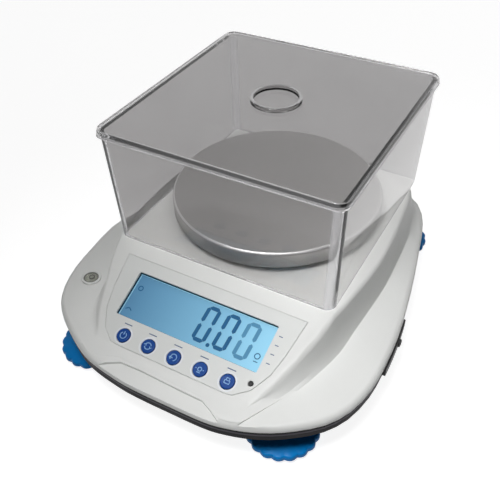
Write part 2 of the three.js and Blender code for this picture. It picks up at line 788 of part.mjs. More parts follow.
function addShield() {
  const wallRing = (insetBy, height, draft) => roundedRectangle(
    shieldWidth / 2 - draft - insetBy, shieldDepth / 2 - draft - insetBy,
    Math.max(shieldCorner - insetBy, innerCornerShare * shieldCorner))
    .map(([x, y]) => new THREE.Vector3(x, y, height));
  const all = [wallRing(0, 0, 0).map((_, i) => i)];
  const outer = lofted([wallRing(0, shieldBottom, shieldDraft), wallRing(0, shieldTop, 0)], all);
  const inner = lofted([
    wallRing(shieldWall, shieldBottom - overrun, shieldDraft * (1 + overrun / shieldHeight)),
    wallRing(shieldWall, shieldTop + overrun, -shieldDraft * overrun / shieldHeight),
  ], all);
  place("shield_walls", solid(outer).subtract(solid(inner)), clearSmoke).position.y = shieldCentre;

  const lidSeat = shieldTop + seatGap;
  const lidTop = lidSeat + lidThickness;
  const lidRing = (reach, height) => roundedRectangle(
    shieldWidth / 2 + reach, shieldDepth / 2 + reach, shieldCorner + reach)
    .map(([x, y]) => new THREE.Vector3(x, y, height));
  const cover = solid(lofted([
    lidRing(lidFoot, lidSeat - lidSkirt),
    lidRing(lidFoot / 2 + lidCrown, lidTop - lidRound),
    lidRing(lidCrown, lidTop),
  ], all));
  const cavity = solid(lofted([
    lidRing(slideGap, lidSeat - lidSkirt - overrun),
    lidRing(slideGap, lidSeat),
  ], all));
  const gripRing = solid(rod(gripRingRadius, lidTop - lidThickness / 2, lidTop + gripRingHeight,
    0, 0, roundSteps));
  const insideRing = solid(rod(gripRingRadius - gripRingWall, lidTop - gripRecess,
    lidTop + gripRingHeight + overrun, 0, 0, roundSteps));
  place("shield_lid", cutBy(cover.add(gripRing), [cavity, insideRing]), clearSmoke)
    .position.y = shieldCentre;
}

function addPan() {
  const skirtBottom = panTop - panSkirt;
  place("weighing_pan", turned([
    [0, panUnder],
    [panRadius - panSheet - panEdgeRound, panUnder],
    [panRadius - panSheet, panUnder - panEdgeRound],
    [panRadius - panSheet, skirtBottom],
    [panRadius, skirtBottom],
    [panRadius, panTop - panEdgeRound],
    [panRadius - panEdgeRound * panBevelShare, panTop - panEdgeRound * panBevelShare],
    [panRadius - panEdgeRound, panTop],
    [0, panTop],
  ], 2 * roundSteps), steelBrushed).position.y = panCentre;

  const postTop = armTop - seatGap;
  const arms = [0, 1].map((n) => solid(
    block(2 * carrierArm, carrierArmWidth, armBottom, armTop).rotateZ((n + 0.5) * Math.PI / 2)));
  const hubBottom = plinthTop + collarHeight + slideGap;
  const hub = solid(rod(carrierHubRadius, hubBottom, armTop, 0, 0, roundSteps));
  const bore = solid(rod(postRadius + seatGap, hubBottom - overrun, postTop + seatGap / 2));
  place("pan_carrier", joined([hub, ...arms]).subtract(bore), aluminiumPlain).position.y = panCentre;
  const padReach = carrierArm - 2 * padRadius;
  [0, 1, 2, 3].forEach((n) => {
    const angle = (n + 0.5) * Math.PI / 2;
    place(`pan_pad_${n + 1}`, rod(padRadius, armTop + seatGap, padTop), rubberBlack)
      .position.set(padReach * Math.cos(angle), panCentre + padReach * Math.sin(angle), 0);
  });

  place("pan_post", turned([
    [0, postFoot],
    [postFlangeRadius, postFoot],
    [postFlangeRadius, postFoot + postFlangeThickness],
    [postRadius, postFoot + postFlangeThickness],
    [postRadius, postTop - seatGap],
    [0, postTop - seatGap],
  ], roundSteps), zincPlain).position.y = panCentre;

  const collarInner = postHoleRadius - collarWall + slideGap;
  place("dust_collar", turned([
    [collarInner, collarFlangeTop - collarFlangeThickness],
    [postHoleRadius + collarWall, collarFlangeTop - collarFlangeThickness],
    [postHoleRadius + collarWall, collarFlangeTop],
    [postHoleRadius - seatGap, collarFlangeTop],
    [postHoleRadius - seatGap, plinthTop + collarHeight],
    [collarInner, plinthTop + collarHeight],
    [collarInner, collarFlangeTop - collarFlangeThickness],
  ], roundSteps), shellWhite).position.y = panCentre;
}

function addLoadCell() {
  const middleY = cellFront + cellLength / 2;
  const body = solid(block(cellWidth, cellLength, cellBottom, cellTop, 0, middleY));
  const middleZ = (cellBottom + cellTop) / 2;
  const windowRadius = cellWindowShare * cellHeight;
  const slotHalf = cellSlotShare * cellHeight / 2;
  const across = (y) => solid(new THREE.CylinderGeometry(
    windowRadius, windowRadius, cellWidth + 2 * overrun, smallSteps)
    .rotateZ(Math.PI / 2).translate(0, y, middleZ));
  const slot = solid(block(cellWidth + 2 * overrun, cellWindowSpacing, middleZ - slotHalf,
    middleZ + slotHalf, 0, middleY));
  const boltHoles = cellBoltPlaces().map(([x, y]) => solid(rod(
    cellBoltRadius + seatGap, cellBottom - overrun, cellBottom + cellBoltGrip + seatGap, x, y)));
  place("load_cell", cutBy(body, [
    across(middleY - cellWindowSpacing / 2), across(middleY + cellWindowSpacing / 2), slot, ...boltHoles,
  ]), aluminiumPlain);

  const mountBottom = floorTop + seatGap;
  const mount = solid(block(cellWidth + 2 * mountBlockMargin, mountBlockLength, mountBottom,
    mountBottom + mountBlockHeight, 0, cellFront + mountBlockLength / 2));
  place("cell_mount_block", cutBy(mount, cellBoltPlaces().map(([x, y]) => solid(rod(
    cellBoltRadius + seatGap, mountBottom - overrun, mountBottom + mountBlockHeight + overrun, x, y)))),
    aluminiumPlain);
  cellBoltPlaces().forEach(([x, y], n) => {
    const headTop = trayBottom - seatGap;
    place(`cell_bolt_${n + 1}`, turned([
      [0, headTop - cellBoltHeadHeight],
      [cellBoltHead, headTop - cellBoltHeadHeight],
      [cellBoltHead, headTop],
      [cellBoltRadius, headTop],
      [cellBoltRadius, cellBottom + cellBoltGrip],
      [0, cellBottom + cellBoltGrip],
    ]), zincPlain).position.set(x, y, 0);
  });
  place("overload_stop", turned([
    [0, floorTop + seatGap],
    [cellBoltHead, floorTop + seatGap],
    [cellBoltHead, cellBottom - stopGap - cellBoltHeadHeight / 2],
    [cellBoltRadius, cellBottom - stopGap],
    [0, cellBottom - stopGap],
  ]), zincPlain).position.set(0, panCentre, 0);
}

function addElectronics() {
  const boardBottom = floorTop + mainBoardLift;
  const boardTop = boardBottom + boardThickness;
  const sunk = boardThickness / 2;
  const chipSide = chipShare * mainBoardWidth;
  const [moduleX, moduleY] = modulePlaceShares;
  const [canX, canY] = canPlaceShares;
  place("main_board", joined([
    solid(block(mainBoardWidth, mainBoardDepth, boardBottom, boardTop)),
    solid(block(chipSide, chipSide, boardTop - sunk, boardTop + chipHeight,
      0, chipPlaceShare * mainBoardDepth)),
    solid(block(moduleShares[0] * mainBoardWidth, moduleShares[1] * mainBoardDepth,
      boardTop - sunk, boardTop + moduleHeight, moduleX * mainBoardWidth, moduleY * mainBoardDepth)),
    solid(rod(canRadiusShare * mainBoardWidth, boardTop - sunk, boardTop + moduleHeight,
      canX * mainBoardWidth, canY * mainBoardDepth)),
  ]), boardGreen).position.set(mainBoardX, mainBoardY, 0);

  const inletTop = inletBottom() + inletHeight - seatGap;
  const middle = (inletBottom() + inletTop) / 2;
  const lying = (radius, length, x) => alongSide(
    new THREE.CylinderGeometry(radius, radius, length, smallSteps)
      .rotateZ(Math.PI / 2)
      .translate(x, jackOffset, middle));
  const housing = solid(alongSide(block(inletDepth, inletLength, inletBottom(), inletTop,
    inletProud - inletDepth / 2, 0)));
  const jack = solid(lying(jackRadius, inletDepth / 2, inletProud + jackProud - inletDepth / 4));
  const bore = solid(lying(jackBore, inletDepth, inletProud + jackProud));
  place("power_inlet", housing.add(jack).subtract(bore), plasticBlack);

  const port = joined([
    solid(block(portWidth, portDepth, portZ - portHeight / 2, portZ + portHeight / 2,
      portX, portFace() - portDepth / 2)),
    solid(block(portInsert, portProud, portZ - portInsertHeight / 2, portZ + portInsertHeight / 2,
      portX, portFace())),
    solid(block(portWidth, portStandDepth, floorTop + seatGap, portZ,
      portX, portFace() - portDepth + portStandDepth / 2)),
  ]);
  place("data_port", port, plasticBlack);
}

function addFeet() {
  const count = wheelLobes * wheelPointsPerLobe;
  const lobed = (radius, height) => Array.from({ length: count }, (_, i) => {
    const swell = Math.abs(Math.sin(Math.PI * i / wheelPointsPerLobe));
    const reach = radius - wheelLobeDepth * (1 - swell);
    const angle = i / count * 2 * Math.PI;
    return new THREE.Vector3(reach * Math.cos(angle), reach * Math.sin(angle), height);
  });
  const hubRing = circle(wheelHubRadius, 0, 0, count).map(([x, y]) => new THREE.Vector3(x, y, hubTop));
  const wheel = solid(lofted([
    lobed(wheelRadius - wheelLobeDepth / 2, wheelBottom),
    lobed(wheelRadius, wheelBottom + wheelLobeDepth / 2),
    lobed(wheelRadius, wheelBottom + wheelThickness - wheelLobeDepth),
    lobed(wheelRadius - wheelLobeDepth, wheelBottom + wheelThickness),
    hubRing,
  ], [Array.from({ length: count }, (_, i) => i)]));
  const bore = solid(rod(studRadius + seatGap, wheelBottom + overrun, hubTop + overrun));
  const bored = wheel.subtract(bore);
  footPlaces.forEach(([x, y], n) => {
    place(`foot_wheel_${n + 1}`, bored, footBlue).position.set(x, y, 0);
    const stud = rod(studRadius, wheelBottom + overrun + seatGap, floorTop + studReach);
    place(`foot_stud_${n + 1}`, stud, zincPlain).position.set(x, y, 0);
    place(`foot_pad_${n + 1}`, rod(footPadRadius, 0, footPadHeight, 0, 0, roundSteps), rubberBlack)
      .position.set(x, y, 0);
    const insert = solid(rod(insertRadius, floorTop + seatGap, floorTop + insertHeight))
      .subtract(solid(rod(studRadius + slideGap, floorTop, floorTop + insertHeight + overrun)));
    place(`foot_insert_${n + 1}`, insert, brassPlain).position.set(x, y, 0);
  });
}

function addScrews() {
  screwPlaces.forEach(([x, y], n) => {
    place(`case_screw_${n + 1}`, turned([
      [0, trayBottom],
      [screwHeadRadius, trayBottom],
      [screwHeadRadius, trayBottom + screwHeadHeight],
      [screwShankRadius, trayBottom + screwHeadHeight],
      [screwShankRadius, trayBottom + screwHeadHeight + screwLength],
      [0, trayBottom + screwHeadHeight + screwLength],
    ]), zincPlain).position.set(x, y, 0);
  });
}

place("upper_shell", upperShell(), shellWhite);
place("base_tray", baseTray(), baseCharcoal);
addConsole();
addLevel();
addShield();
addPan();
addLoadCell();
addElectronics();
addFeet();
addScrews();

export default balance;
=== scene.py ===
import json
import math
import bpy
from mathutils import Matrix, Vector


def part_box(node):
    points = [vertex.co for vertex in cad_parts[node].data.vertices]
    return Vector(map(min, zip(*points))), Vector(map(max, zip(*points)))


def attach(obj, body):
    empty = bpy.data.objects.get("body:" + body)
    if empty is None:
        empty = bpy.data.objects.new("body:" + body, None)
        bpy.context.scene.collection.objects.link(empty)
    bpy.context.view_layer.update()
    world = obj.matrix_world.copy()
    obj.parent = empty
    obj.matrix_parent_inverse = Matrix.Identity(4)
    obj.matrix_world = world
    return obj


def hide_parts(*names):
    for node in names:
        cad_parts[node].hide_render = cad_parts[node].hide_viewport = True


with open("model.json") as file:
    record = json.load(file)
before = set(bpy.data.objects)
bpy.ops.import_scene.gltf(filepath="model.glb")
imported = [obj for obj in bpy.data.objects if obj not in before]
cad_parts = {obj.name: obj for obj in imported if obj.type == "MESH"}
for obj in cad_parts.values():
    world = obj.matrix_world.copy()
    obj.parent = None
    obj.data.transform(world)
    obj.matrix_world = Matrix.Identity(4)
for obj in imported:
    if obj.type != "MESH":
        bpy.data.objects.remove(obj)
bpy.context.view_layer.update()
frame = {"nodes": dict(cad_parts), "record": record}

MM = 0.001

# Camera at the photograph's place, in metres and degrees, its lens and sensor in millimetres
CAMERA_PLACE = (0.154464, -0.271045, 0.312027)
CAMERA_AZIMUTH = 30.132
CAMERA_ELEVATION = 41.168
CAMERA_ROLL = -1.535
CAMERA_LENS = 47.13
CAMERA_SENSOR = 36
CAMERA_NEAR = 0.01

# Lengths of the part are in millimetres, and MM turns them into metres where they are used.
# Console frame: its origin is on the slope's upper edge, x to the right, y up the slope, z outwards.
CONSOLE_CENTRE = 1.5
CONSOLE_START = -42.0
PLATFORM_TOP = 54.7
CONSOLE_ANGLE = math.atan(0.4)

SHIELD_CENTRE = 29.5
SHIELD_HALF = 73.0
SHIELD_BOTTOM = 55.0
SHIELD_TOP = 126.6
SHIELD_DRAFT = 2.1
SHIELD_WALL = 2.5
SHIELD_CORNER = 6.0
SHIELD_TAPER = SHIELD_DRAFT / (SHIELD_TOP - SHIELD_BOTTOM)
PAN_CENTRE = 30.5
FEET = {1: (-64.5, -85.9), 2: (64.5, -85.9), 3: (-64.5, 95.5), 4: (64.5, 95.5)}
KEYS = ("power", "unit", "tare", "zero", "print")
KEY_PITCH = 17.0
KEY_ROW = 55.4
LEVEL_PLACE = (-81.5, -63.0)
OVERLAY_FACE = 0.1
PAN_RADIUS = 65.0
PAN_TOP = 70.0
LID_TOP = 130.1
# Height of the painted highlight line on the base tray's side, its half width, and where it has faded out
LIP_HIGHLIGHT_HEIGHT = 23.6
LIP_HIGHLIGHT_HALF = 0.4
LIP_HIGHLIGHT_FADE = 0.8


def linear(red, green, blue):
    """Screen colour, 0 to 255, as the linear colour that shaders take."""
    def channel(value):
        share = value / 255
        return share / 12.92 if share <= 0.04045 else ((share + 0.055) / 1.055) ** 2.4
    return (channel(red), channel(green), channel(blue), 1)


# finishes
MOTTLE_SCALE = 18
WEAR_SCALE = 60
WEAR_SPREAD = 0.05


class Finish:
    """A node material on object coordinates, built up step by step."""

    def __init__(self, name):
        self.material = bpy.data.materials.new(name)
        self.material.use_nodes = True
        self.tree = self.material.node_tree
        self.shader = self.tree.nodes["Principled BSDF"]
        self.output = self.tree.nodes["Material Output"]
        self.place = self.tree.nodes.new("ShaderNodeTexCoord").outputs["Object"]

    def node(self, kind, **settings):
        """A new node with some of its settings changed."""
        made = self.tree.nodes.new(kind)
        for key, value in settings.items():
            setattr(made, key, value)
        return made

    def link(self, source, target):
        self.tree.links.new(source, target)

    def set(self, **values):
        """Even values on the shader's own sockets."""
        for key, value in values.items():
            self.shader.inputs[key.replace("_", " ")].default_value = value

    def stretched(self, scale, move=(0, 0, 0)):
        """Object coordinates, scaled and moved."""
        mapping = self.node("ShaderNodeMapping")
        mapping.inputs["Scale"].default_value = scale
        mapping.inputs["Location"].default_value = move
        self.link(self.place, mapping.inputs["Vector"])
        return mapping.outputs["Vector"]

    def split(self):
        """The object coordinates as three outputs, X, Y and Z."""
        parts = self.node("ShaderNodeSeparateXYZ")
        self.link(self.place, parts.inputs["Vector"])
        return parts.outputs

    def maths(self, operation, first, second=0.0):
        """One sum of numbers or outputs."""
        made = self.node("ShaderNodeMath", operation=operation)
        for socket, value in zip(made.inputs, (first, second)):
            if isinstance(value, float):
                socket.default_value = value
            else:
                self.link(value, socket)
        return made.outputs["Value"]

    def noise(self, scale, detail=3, vector=None):
        noise = self.node("ShaderNodeTexNoise")
        noise.inputs["Scale"].default_value = scale
        noise.inputs["Detail"].default_value = detail
        self.link(vector or self.place, noise.inputs["Vector"])
        return noise.outputs["Fac"]

    def ranged(self, value, low, high, start=0.3, end=0.7):
        """A value that runs from low to high while the given one runs from start to end."""
        spread = self.node("ShaderNodeMapRange")
        spread.inputs["From Min"].default_value = start
        spread.inputs["From Max"].default_value = end
        spread.inputs["To Min"].default_value = low
        spread.inputs["To Max"].default_value = high
        self.link(value, spread.inputs["Value"])
        return spread.outputs["Result"]

    def blended(self, share, first, second):
        """A mix of two colours, the first where the share is 0."""
        mix = self.node("ShaderNodeMix", data_type="RGBA")
        for socket, colour in (("A", first), ("B", second)):
            target = [s for s in mix.inputs if s.name == socket and s.type == "RGBA"][0]
            if isinstance(colour, tuple):
                target.default_value = colour
            else:
                self.link(colour, target)
        self.link(share, mix.inputs["Factor"])
        return [s for s in mix.outputs if s.type == "RGBA"][0]

    def coloured(self, output):
        self.link(output, self.shader.inputs["Base Color"])

    def rough(self, output):
        self.link(output, self.shader.inputs["Roughness"])

    def mottled(self, colour, spread):
        """A colour that gets a little darker and lighter in soft patches."""
        patches = self.ranged(self.noise(MOTTLE_SCALE), 0, 1)
        return self.blended(patches, shade_of(colour, 1 - spread), shade_of(colour, 1 + spread))

    def worn(self, roughness):
        """A roughness that varies a little over the surface."""
        self.rough(self.ranged(self.noise(WEAR_SCALE), roughness - WEAR_SPREAD, roughness + WEAR_SPREAD))

    def bumped(self, height, strength, distance):
        bump = self.node("ShaderNodeBump")
        bump.inputs["Strength"].default_value = strength
        bump.inputs["Distance"].default_value = distance
        self.link(height, bump.inputs["Height"])
        self.link(bump.outputs["Normal"], self.shader.inputs["Normal"])


def shade_of(colour, factor):
    """A colour made darker or lighter."""
    return tuple(min(1, channel * factor) for channel in colour[:3]) + (1,)


def moulded(name, colour, roughness, grain=900, depth=0.00002, mottle=0.04, strength=0.25, shine=0.4):
    """Satin plastic with a fine grain."""
    finish = Finish(name)
    finish.set(Specular_IOR_Level=shine)
    finish.coloured(finish.mottled(colour, mottle))
    finish.worn(roughness)
    finish.bumped(finish.noise(grain, 2), strength, depth)
    return finish.material


# How much lighter the tray's painted highlight line is than the tray
LIP_HIGHLIGHT_GAIN = 9


def lip_highlighted(name, colour, roughness):
    """Dark moulded plastic whose side has a painted highlight line half way up, where light would catch the
    tray's lip.
    """
    finish = Finish(name)
    finish.set(Specular_IOR_Level=0.12)
    # Painted highlight: a thin pale line along the tray's lip
    away = finish.maths("ABSOLUTE", finish.maths("SUBTRACT", finish.split()["Z"], LIP_HIGHLIGHT_HEIGHT * MM))
    lip_highlight = finish.ranged(away, 1, 0, LIP_HIGHLIGHT_HALF * MM, LIP_HIGHLIGHT_FADE * MM)
    finish.coloured(finish.blended(lip_highlight, finish.mottled(colour, 0.06), shade_of(colour, LIP_HIGHLIGHT_GAIN)))
    finish.worn(roughness)
    finish.bumped(finish.noise(700, 2), 0.25, 0.00004)
    return finish.material


def metal(name, colour, roughness, stretch=(1, 1, 1), scale=500, depth=0.00001, strength=0.2):
    """Plain metal with machining lines."""
    finish = Finish(name)
    finish.set(Metallic=1.0)
    lines = finish.noise(scale, 2, finish.stretched(stretch))
    finish.coloured(finish.blended(lines, shade_of(colour, 0.9), shade_of(colour, 1.08)))
    finish.rough(finish.ranged(lines, roughness - 0.06, roughness + 0.08))
    finish.bumped(lines, strength, depth)
    return finish.material


# Painted highlights on the shield: how much white goes into the clear plastic at its corners, lid edge, foot
# and ring, and how much light still passes there
POST_HIGHLIGHT = 0.6
EDGE_HIGHLIGHT = 0.5
RING_HIGHLIGHT = 0.6
HIGHLIGHT_WHITE = (0.92, 0.92, 0.94, 1)
HIGHLIGHT_PASSING = 0.5


def shield_edge_highlights(finish):
    """How much painted highlight the shield gets, from 0 to 1: white on its upright corners, lid edge, foot
    rim and ring top, where light makes bright lines.
    """
    place = finish.split()
    across = finish.maths("ABSOLUTE", place["X"])
    along = finish.maths("ABSOLUTE", finish.maths("SUBTRACT", place["Y"], SHIELD_CENTRE * MM))
    height = place["Z"]
    drop = finish.maths("MULTIPLY", finish.maths("SUBTRACT", SHIELD_TOP * MM, height), SHIELD_TAPER)
    corner = finish.maths("ADD", finish.maths("MINIMUM", across, along), drop)
    outermost = finish.maths("MAXIMUM", across, along)

    def step(value, low, high, base, start, end):
        return finish.ranged(value, low, high, (base + start) * MM, (base + end) * MM)

    post = finish.maths("MULTIPLY", step(corner, 0, POST_HIGHLIGHT, SHIELD_HALF, -6.5, -5),
                        step(height, 1, 0, LID_TOP, -5, -4.5))
    lid_edge = step(outermost, 0, EDGE_HIGHLIGHT, SHIELD_HALF, 0.1, 0.5)
    foot_rim = step(height, EDGE_HIGHLIGHT, 0, SHIELD_BOTTOM, 0.3, 0.8)
    ring_top = step(height, 0, RING_HIGHLIGHT, LID_TOP, 2.1, 2.4)
    marks = [post, lid_edge, foot_rim, ring_top]
    total = marks[0]
    for mark in marks[1:]:
        total = finish.maths("MAXIMUM", total, mark)
    return total


CLEAR_IOR = 1.25
CLEAR_SHADOW = (0.97, 0.97, 0.97, 1)


def clear(name, tint, roughness=0.02, painted_highlights=None):
    """Clear plastic that lets light through for shadows too."""
    finish = Finish(name)
    finish.set(Transmission_Weight=1.0, IOR=CLEAR_IOR)
    haze = finish.ranged(finish.noise(25), 0, 1)
    colour = finish.blended(haze, shade_of(tint, 0.97), tint)
    # Painted highlights: white mixed into the colour where the mask says, with less light passing there
    if painted_highlights:
        edges = painted_highlights(finish)
        colour = finish.blended(edges, colour, HIGHLIGHT_WHITE)
        passing_share = finish.ranged(edges, 1.0, HIGHLIGHT_PASSING, 0, 1)
        finish.link(passing_share, finish.shader.inputs["Transmission Weight"])
    finish.coloured(colour)
    finish.rough(finish.ranged(finish.noise(40), roughness, roughness * 2))
    passing = finish.node("ShaderNodeBsdfTransparent")
    passing.inputs["Color"].default_value = CLEAR_SHADOW
    rays = finish.node("ShaderNodeLightPath")
    mix = finish.node("ShaderNodeMixShader")
    finish.link(rays.outputs["Is Shadow Ray"], mix.inputs["Fac"])
    finish.link(finish.shader.outputs["BSDF"], mix.inputs[1])
    finish.link(passing.outputs["BSDF"], mix.inputs[2])
    finish.link(mix.outputs["Shader"], finish.output.inputs["Surface"])
    return finish.material


GRAIN_STRETCH = (1, 0.02, 1)
# How dark the painted shade at the skirt's foot goes, and the white of the painted highlight on the rim
SKIRT_PAINTED_SHADE = 0.55
RIM_HIGHLIGHT_COLOUR = (0.96, 0.96, 0.96, 1)


def brushed_pan(name, colour, roughness):
    """Satin steel with a straight grain, a painted highlight line on the pan's rim, and painted shade that
    darkens the skirt towards its foot.
    """
    finish = Finish(name)
    finish.set(Metallic=1.0)
    grain = finish.noise(1800, 3, finish.stretched(GRAIN_STRETCH, move=(0, -PAN_CENTRE * MM, 0)))
    place = finish.split()
    across, height = place["X"], place["Z"]
    along = finish.maths("SUBTRACT", place["Y"], PAN_CENTRE * MM)
    reach = finish.maths("SQRT", finish.maths("ADD", finish.maths("MULTIPLY", across, across),
                                              finish.maths("MULTIPLY", along, along)))
    # Painted highlight: a thin white line round the top of the rim
    outside = finish.ranged(reach, 0, 1, (PAN_RADIUS - 1.5) * MM, (PAN_RADIUS - 1.1) * MM)
    on_top = finish.ranged(height, 0, 1, (PAN_TOP - 1.2) * MM, (PAN_TOP - 0.8) * MM)
    # Painted shade: the skirt darkens towards its foot
    skirt_shade = finish.ranged(height, 1, 0, (PAN_TOP - 9) * MM, (PAN_TOP - 1) * MM)
    patches = finish.ranged(finish.noise(9, 2), 0, 1)
    satin = finish.blended(patches, shade_of(colour, 0.95), shade_of(colour, 1.04))
    satin = finish.blended(skirt_shade, satin, shade_of(colour, SKIRT_PAINTED_SHADE))
    finish.coloured(finish.blended(finish.maths("MULTIPLY", outside, on_top), satin, RIM_HIGHLIGHT_COLOUR))
    finish.rough(finish.ranged(grain, roughness - 0.03, roughness + 0.05))
    finish.bumped(grain, 0.05, 0.000004)
    return finish.material


LIT_WIDTH = 96
DISPLAY_GLOW = 0.16


def lit_display(name, dim, bright):
    """Backlit panel, dimmer at its left end."""
    finish = Finish(name)
    across = finish.ranged(finish.split()["X"], 0, 1, (CONSOLE_CENTRE - LIT_WIDTH / 2) * MM,
                           (CONSOLE_CENTRE + LIT_WIDTH / 2) * MM)
    colour = finish.blended(across, dim, bright)
    finish.link(colour, finish.shader.inputs["Base Color"])
    finish.link(colour, finish.shader.inputs["Emission Color"])
    finish.set(Emission_Strength=DISPLAY_GLOW, Roughness=0.4)
    finish.bumped(finish.noise(1500, 1), 0.05, 0.00001)
    return finish.material


PLASTICS = {
    "shell_white": ((235, 236, 234), 0.42, {"mottle": 0.012, "shine": 0.3}),
    "overlay_pale": ((229, 231, 229), 0.34, {"grain": 1400, "mottle": 0.01, "shine": 0.3}),
    "board_green": ((34, 92, 58), 0.45, {"grain": 300, "depth": 0.0001, "mottle": 0.1}),
    "key_blue": ((16, 70, 148), 0.35, {"mottle": 0.05, "strength": 0.1, "shine": 0.2}),
    "plastic_black": ((16, 16, 18), 0.45, {"depth": 0.00003, "shine": 0.25}),
    "rubber_black": ((34, 34, 36), 0.8, {"grain": 500, "depth": 0.00005}),
    "foot_blue": ((0, 132, 212), 0.36, {"mottle": 0.05, "shine": 0.15}),
    "print_pale": ((148, 192, 232), 0.5, {"mottle": 0.02}),
    "print_halo": ((238, 241, 246), 0.45, {"mottle": 0.01}),
    "print_slate": ((74, 96, 134), 0.5, {}),
    "figure_dark": ((48, 104, 150), 0.6, {"mottle": 0.03, "shine": 0.1}),
    "figure_faint": ((92, 152, 190), 0.6, {"mottle": 0.03, "shine": 0.1}),
    "frame_teal": ((14, 52, 72), 0.5, {"mottle": 0.05, "shine": 0.1}),
    "edge_cyan": ((176, 232, 250), 0.4, {"mottle": 0.02}),
    "well_grey": ((128, 128, 127), 0.5, {"mottle": 0.03}),
    "line_grey": ((64, 64, 64), 0.5, {"mottle": 0.05}),
}
finishes = {name: moulded(name, linear(*colour), roughness, **more)
            for name, (colour, roughness, more) in PLASTICS.items()}
finishes["base_charcoal"] = lip_highlighted("base_charcoal", linear(34, 33, 36), 0.6)
# The grey tint is painted shade: it darkens what shows through the shield, while shadows pass it almost
# untinted
finishes["clear_smoke"] = clear("clear_smoke", linear(197, 196, 196), painted_highlights=shield_edge_highlights)
finishes["lcd_blue"] = lit_display("lcd_blue", linear(74, 130, 170), linear(140, 206, 236))
finishes["level_clear"] = clear("level_clear", linear(236, 238, 228))
finishes["steel_brushed"] = brushed_pan("steel_brushed", linear(202, 201, 200), 0.4)
finishes["aluminium_plain"] = metal("aluminium_plain", linear(196, 198, 200), 0.36, (1, 8, 1))
finishes["zinc_plain"] = metal("zinc_plain", linear(172, 174, 176), 0.32)
finishes["brass_plain"] = metal("brass_plain", linear(190, 156, 92), 0.3)
for entry in frame["record"]["subparts"]:
    carried = frame["nodes"][entry["node"]]
    carried.data.materials.clear()
    carried.data.materials.append(finishes[entry["material_slot"]])


# making pieces
def nothing_selected():
    """Object mode, with no object selected."""
    if bpy.context.object and bpy.context.object.mode != "OBJECT":
        bpy.ops.object.mode_set(mode="OBJECT")
    bpy.ops.object.select_all(action="DESELECT")


def only(piece):
    """Selects one piece and makes it the active one."""
    nothing_selected()
    piece.select_set(True)
    bpy.context.view_layer.objects.active = piece


def finished(piece, name, finish, body, nodes=(), smooth=35):
    """Names a piece, gives its finish and body, and settles its place in its mesh."""
    only(piece)
    bpy.ops.object.transform_apply(location=True, rotation=True, scale=True)
    piece.name = name
    piece.data.name = name
    piece.data.materials.clear()
    piece.data.materials.append(finishes[finish])
    if smooth:
        bpy.ops.object.shade_smooth_by_angle(angle=math.radians(smooth))
        applied(piece, "WEIGHTED_NORMAL", mode="FACE_AREA", weight=50, keep_sharp=True)
    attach(piece, body)
    if nodes:
        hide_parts(*nodes)


def applied(piece, kind, **settings):
    """Adds a modifier and applies it at once."""
    only(piece)
    modifier = piece.modifiers.new(kind.lower(), kind)
    for key, value in settings.items():
        setattr(modifier, key, value)
    bpy.ops.object.modifier_apply(modifier=modifier.name)
    return piece


def rounded_edges(piece, width, segments=2, angle=35):
    """Bevels every edge that is sharper than an angle in degrees."""
    return applied(piece, "BEVEL", width=width * MM, segments=segments, limit_method="ANGLE",
                   angle_limit=math.radians(angle))


def merged_copy(node):
    """A copy of a CAD node with its loose triangles joined up."""
    source = frame["nodes"][node]
    copy = bpy.data.objects.new(node + "_piece", source.data.copy())
    bpy.context.collection.objects.link(copy)
    copy.matrix_world = source.matrix_world
    only(copy)
    bpy.ops.object.mode_set(mode="EDIT")
    bpy.ops.mesh.select_all(action="SELECT")
    bpy.ops.mesh.remove_doubles(threshold=0.002 * MM)
    bpy.ops.mesh.dissolve_limited(angle_limit=math.radians(0.5))
    bpy.ops.object.mode_set(mode="OBJECT")
    copy.data.materials.clear()
    return copy


def refined(node, name, finish, body, width=0.3, segments=2):
    """The CAD node's own shape with softened edges."""
    piece = merged_copy(node)
    rounded_edges(piece, width, segments)
    finished(piece, name, finish, body, (node,))


def outwards():
    """Turns all faces of the piece in edit mode outwards, and leaves edit mode."""
    bpy.ops.mesh.select_all(action="SELECT")
    bpy.ops.mesh.normals_make_consistent(inside=False)
    bpy.ops.object.mode_set(mode="OBJECT")


def turned(profile, steps=64, centre=(0, 0)):
    """A turned solid: the profile goes from near the axis and back to it, as radius and height."""
    nothing_selected()
    (radius, height), rest = profile[0], profile[1:]
    bpy.ops.mesh.primitive_circle_add(vertices=steps, radius=radius * MM, fill_type="NGON",
                                      location=(centre[0] * MM, centre[1] * MM, height * MM))
    piece = bpy.context.object
    bpy.ops.object.transform_apply(location=True)
    bpy.ops.object.mode_set(mode="EDIT")
    bpy.ops.mesh.select_all(action="SELECT")
    for next_radius, next_height in rest:
        bpy.ops.mesh.extrude_region_move(
            TRANSFORM_OT_translate={"value": (0, 0, (next_height - height) * MM)})
        factor = next_radius / radius
        if abs(factor - 1) > 1e-6:
            bpy.ops.transform.resize(value=(factor, factor, 1),
                                     center_override=(centre[0] * MM, centre[1] * MM, next_height * MM))
        radius, height = next_radius, next_height
    outwards()
    return piece


def ring_piece(profile, steps=48, centre=(0, 0)):
    """A turned ring: its profile is a closed loop, so the two discs at its ends go."""
    piece = turned(profile + profile[:1], steps, centre)
    select_faces(piece, lambda face: len(face.vertices) == steps)
    bpy.ops.mesh.delete(type="FACE")
    bpy.ops.mesh.select_all(action="SELECT")
    bpy.ops.mesh.remove_doubles(threshold=0.001 * MM)
    outwards()
    return piece


def flat_ring(outer, inner, low, high, steps, centre):
    """A ring with a square section."""
    return ring_piece([(outer, low), (outer, high), (inner, high), (inner, low)], steps, centre)


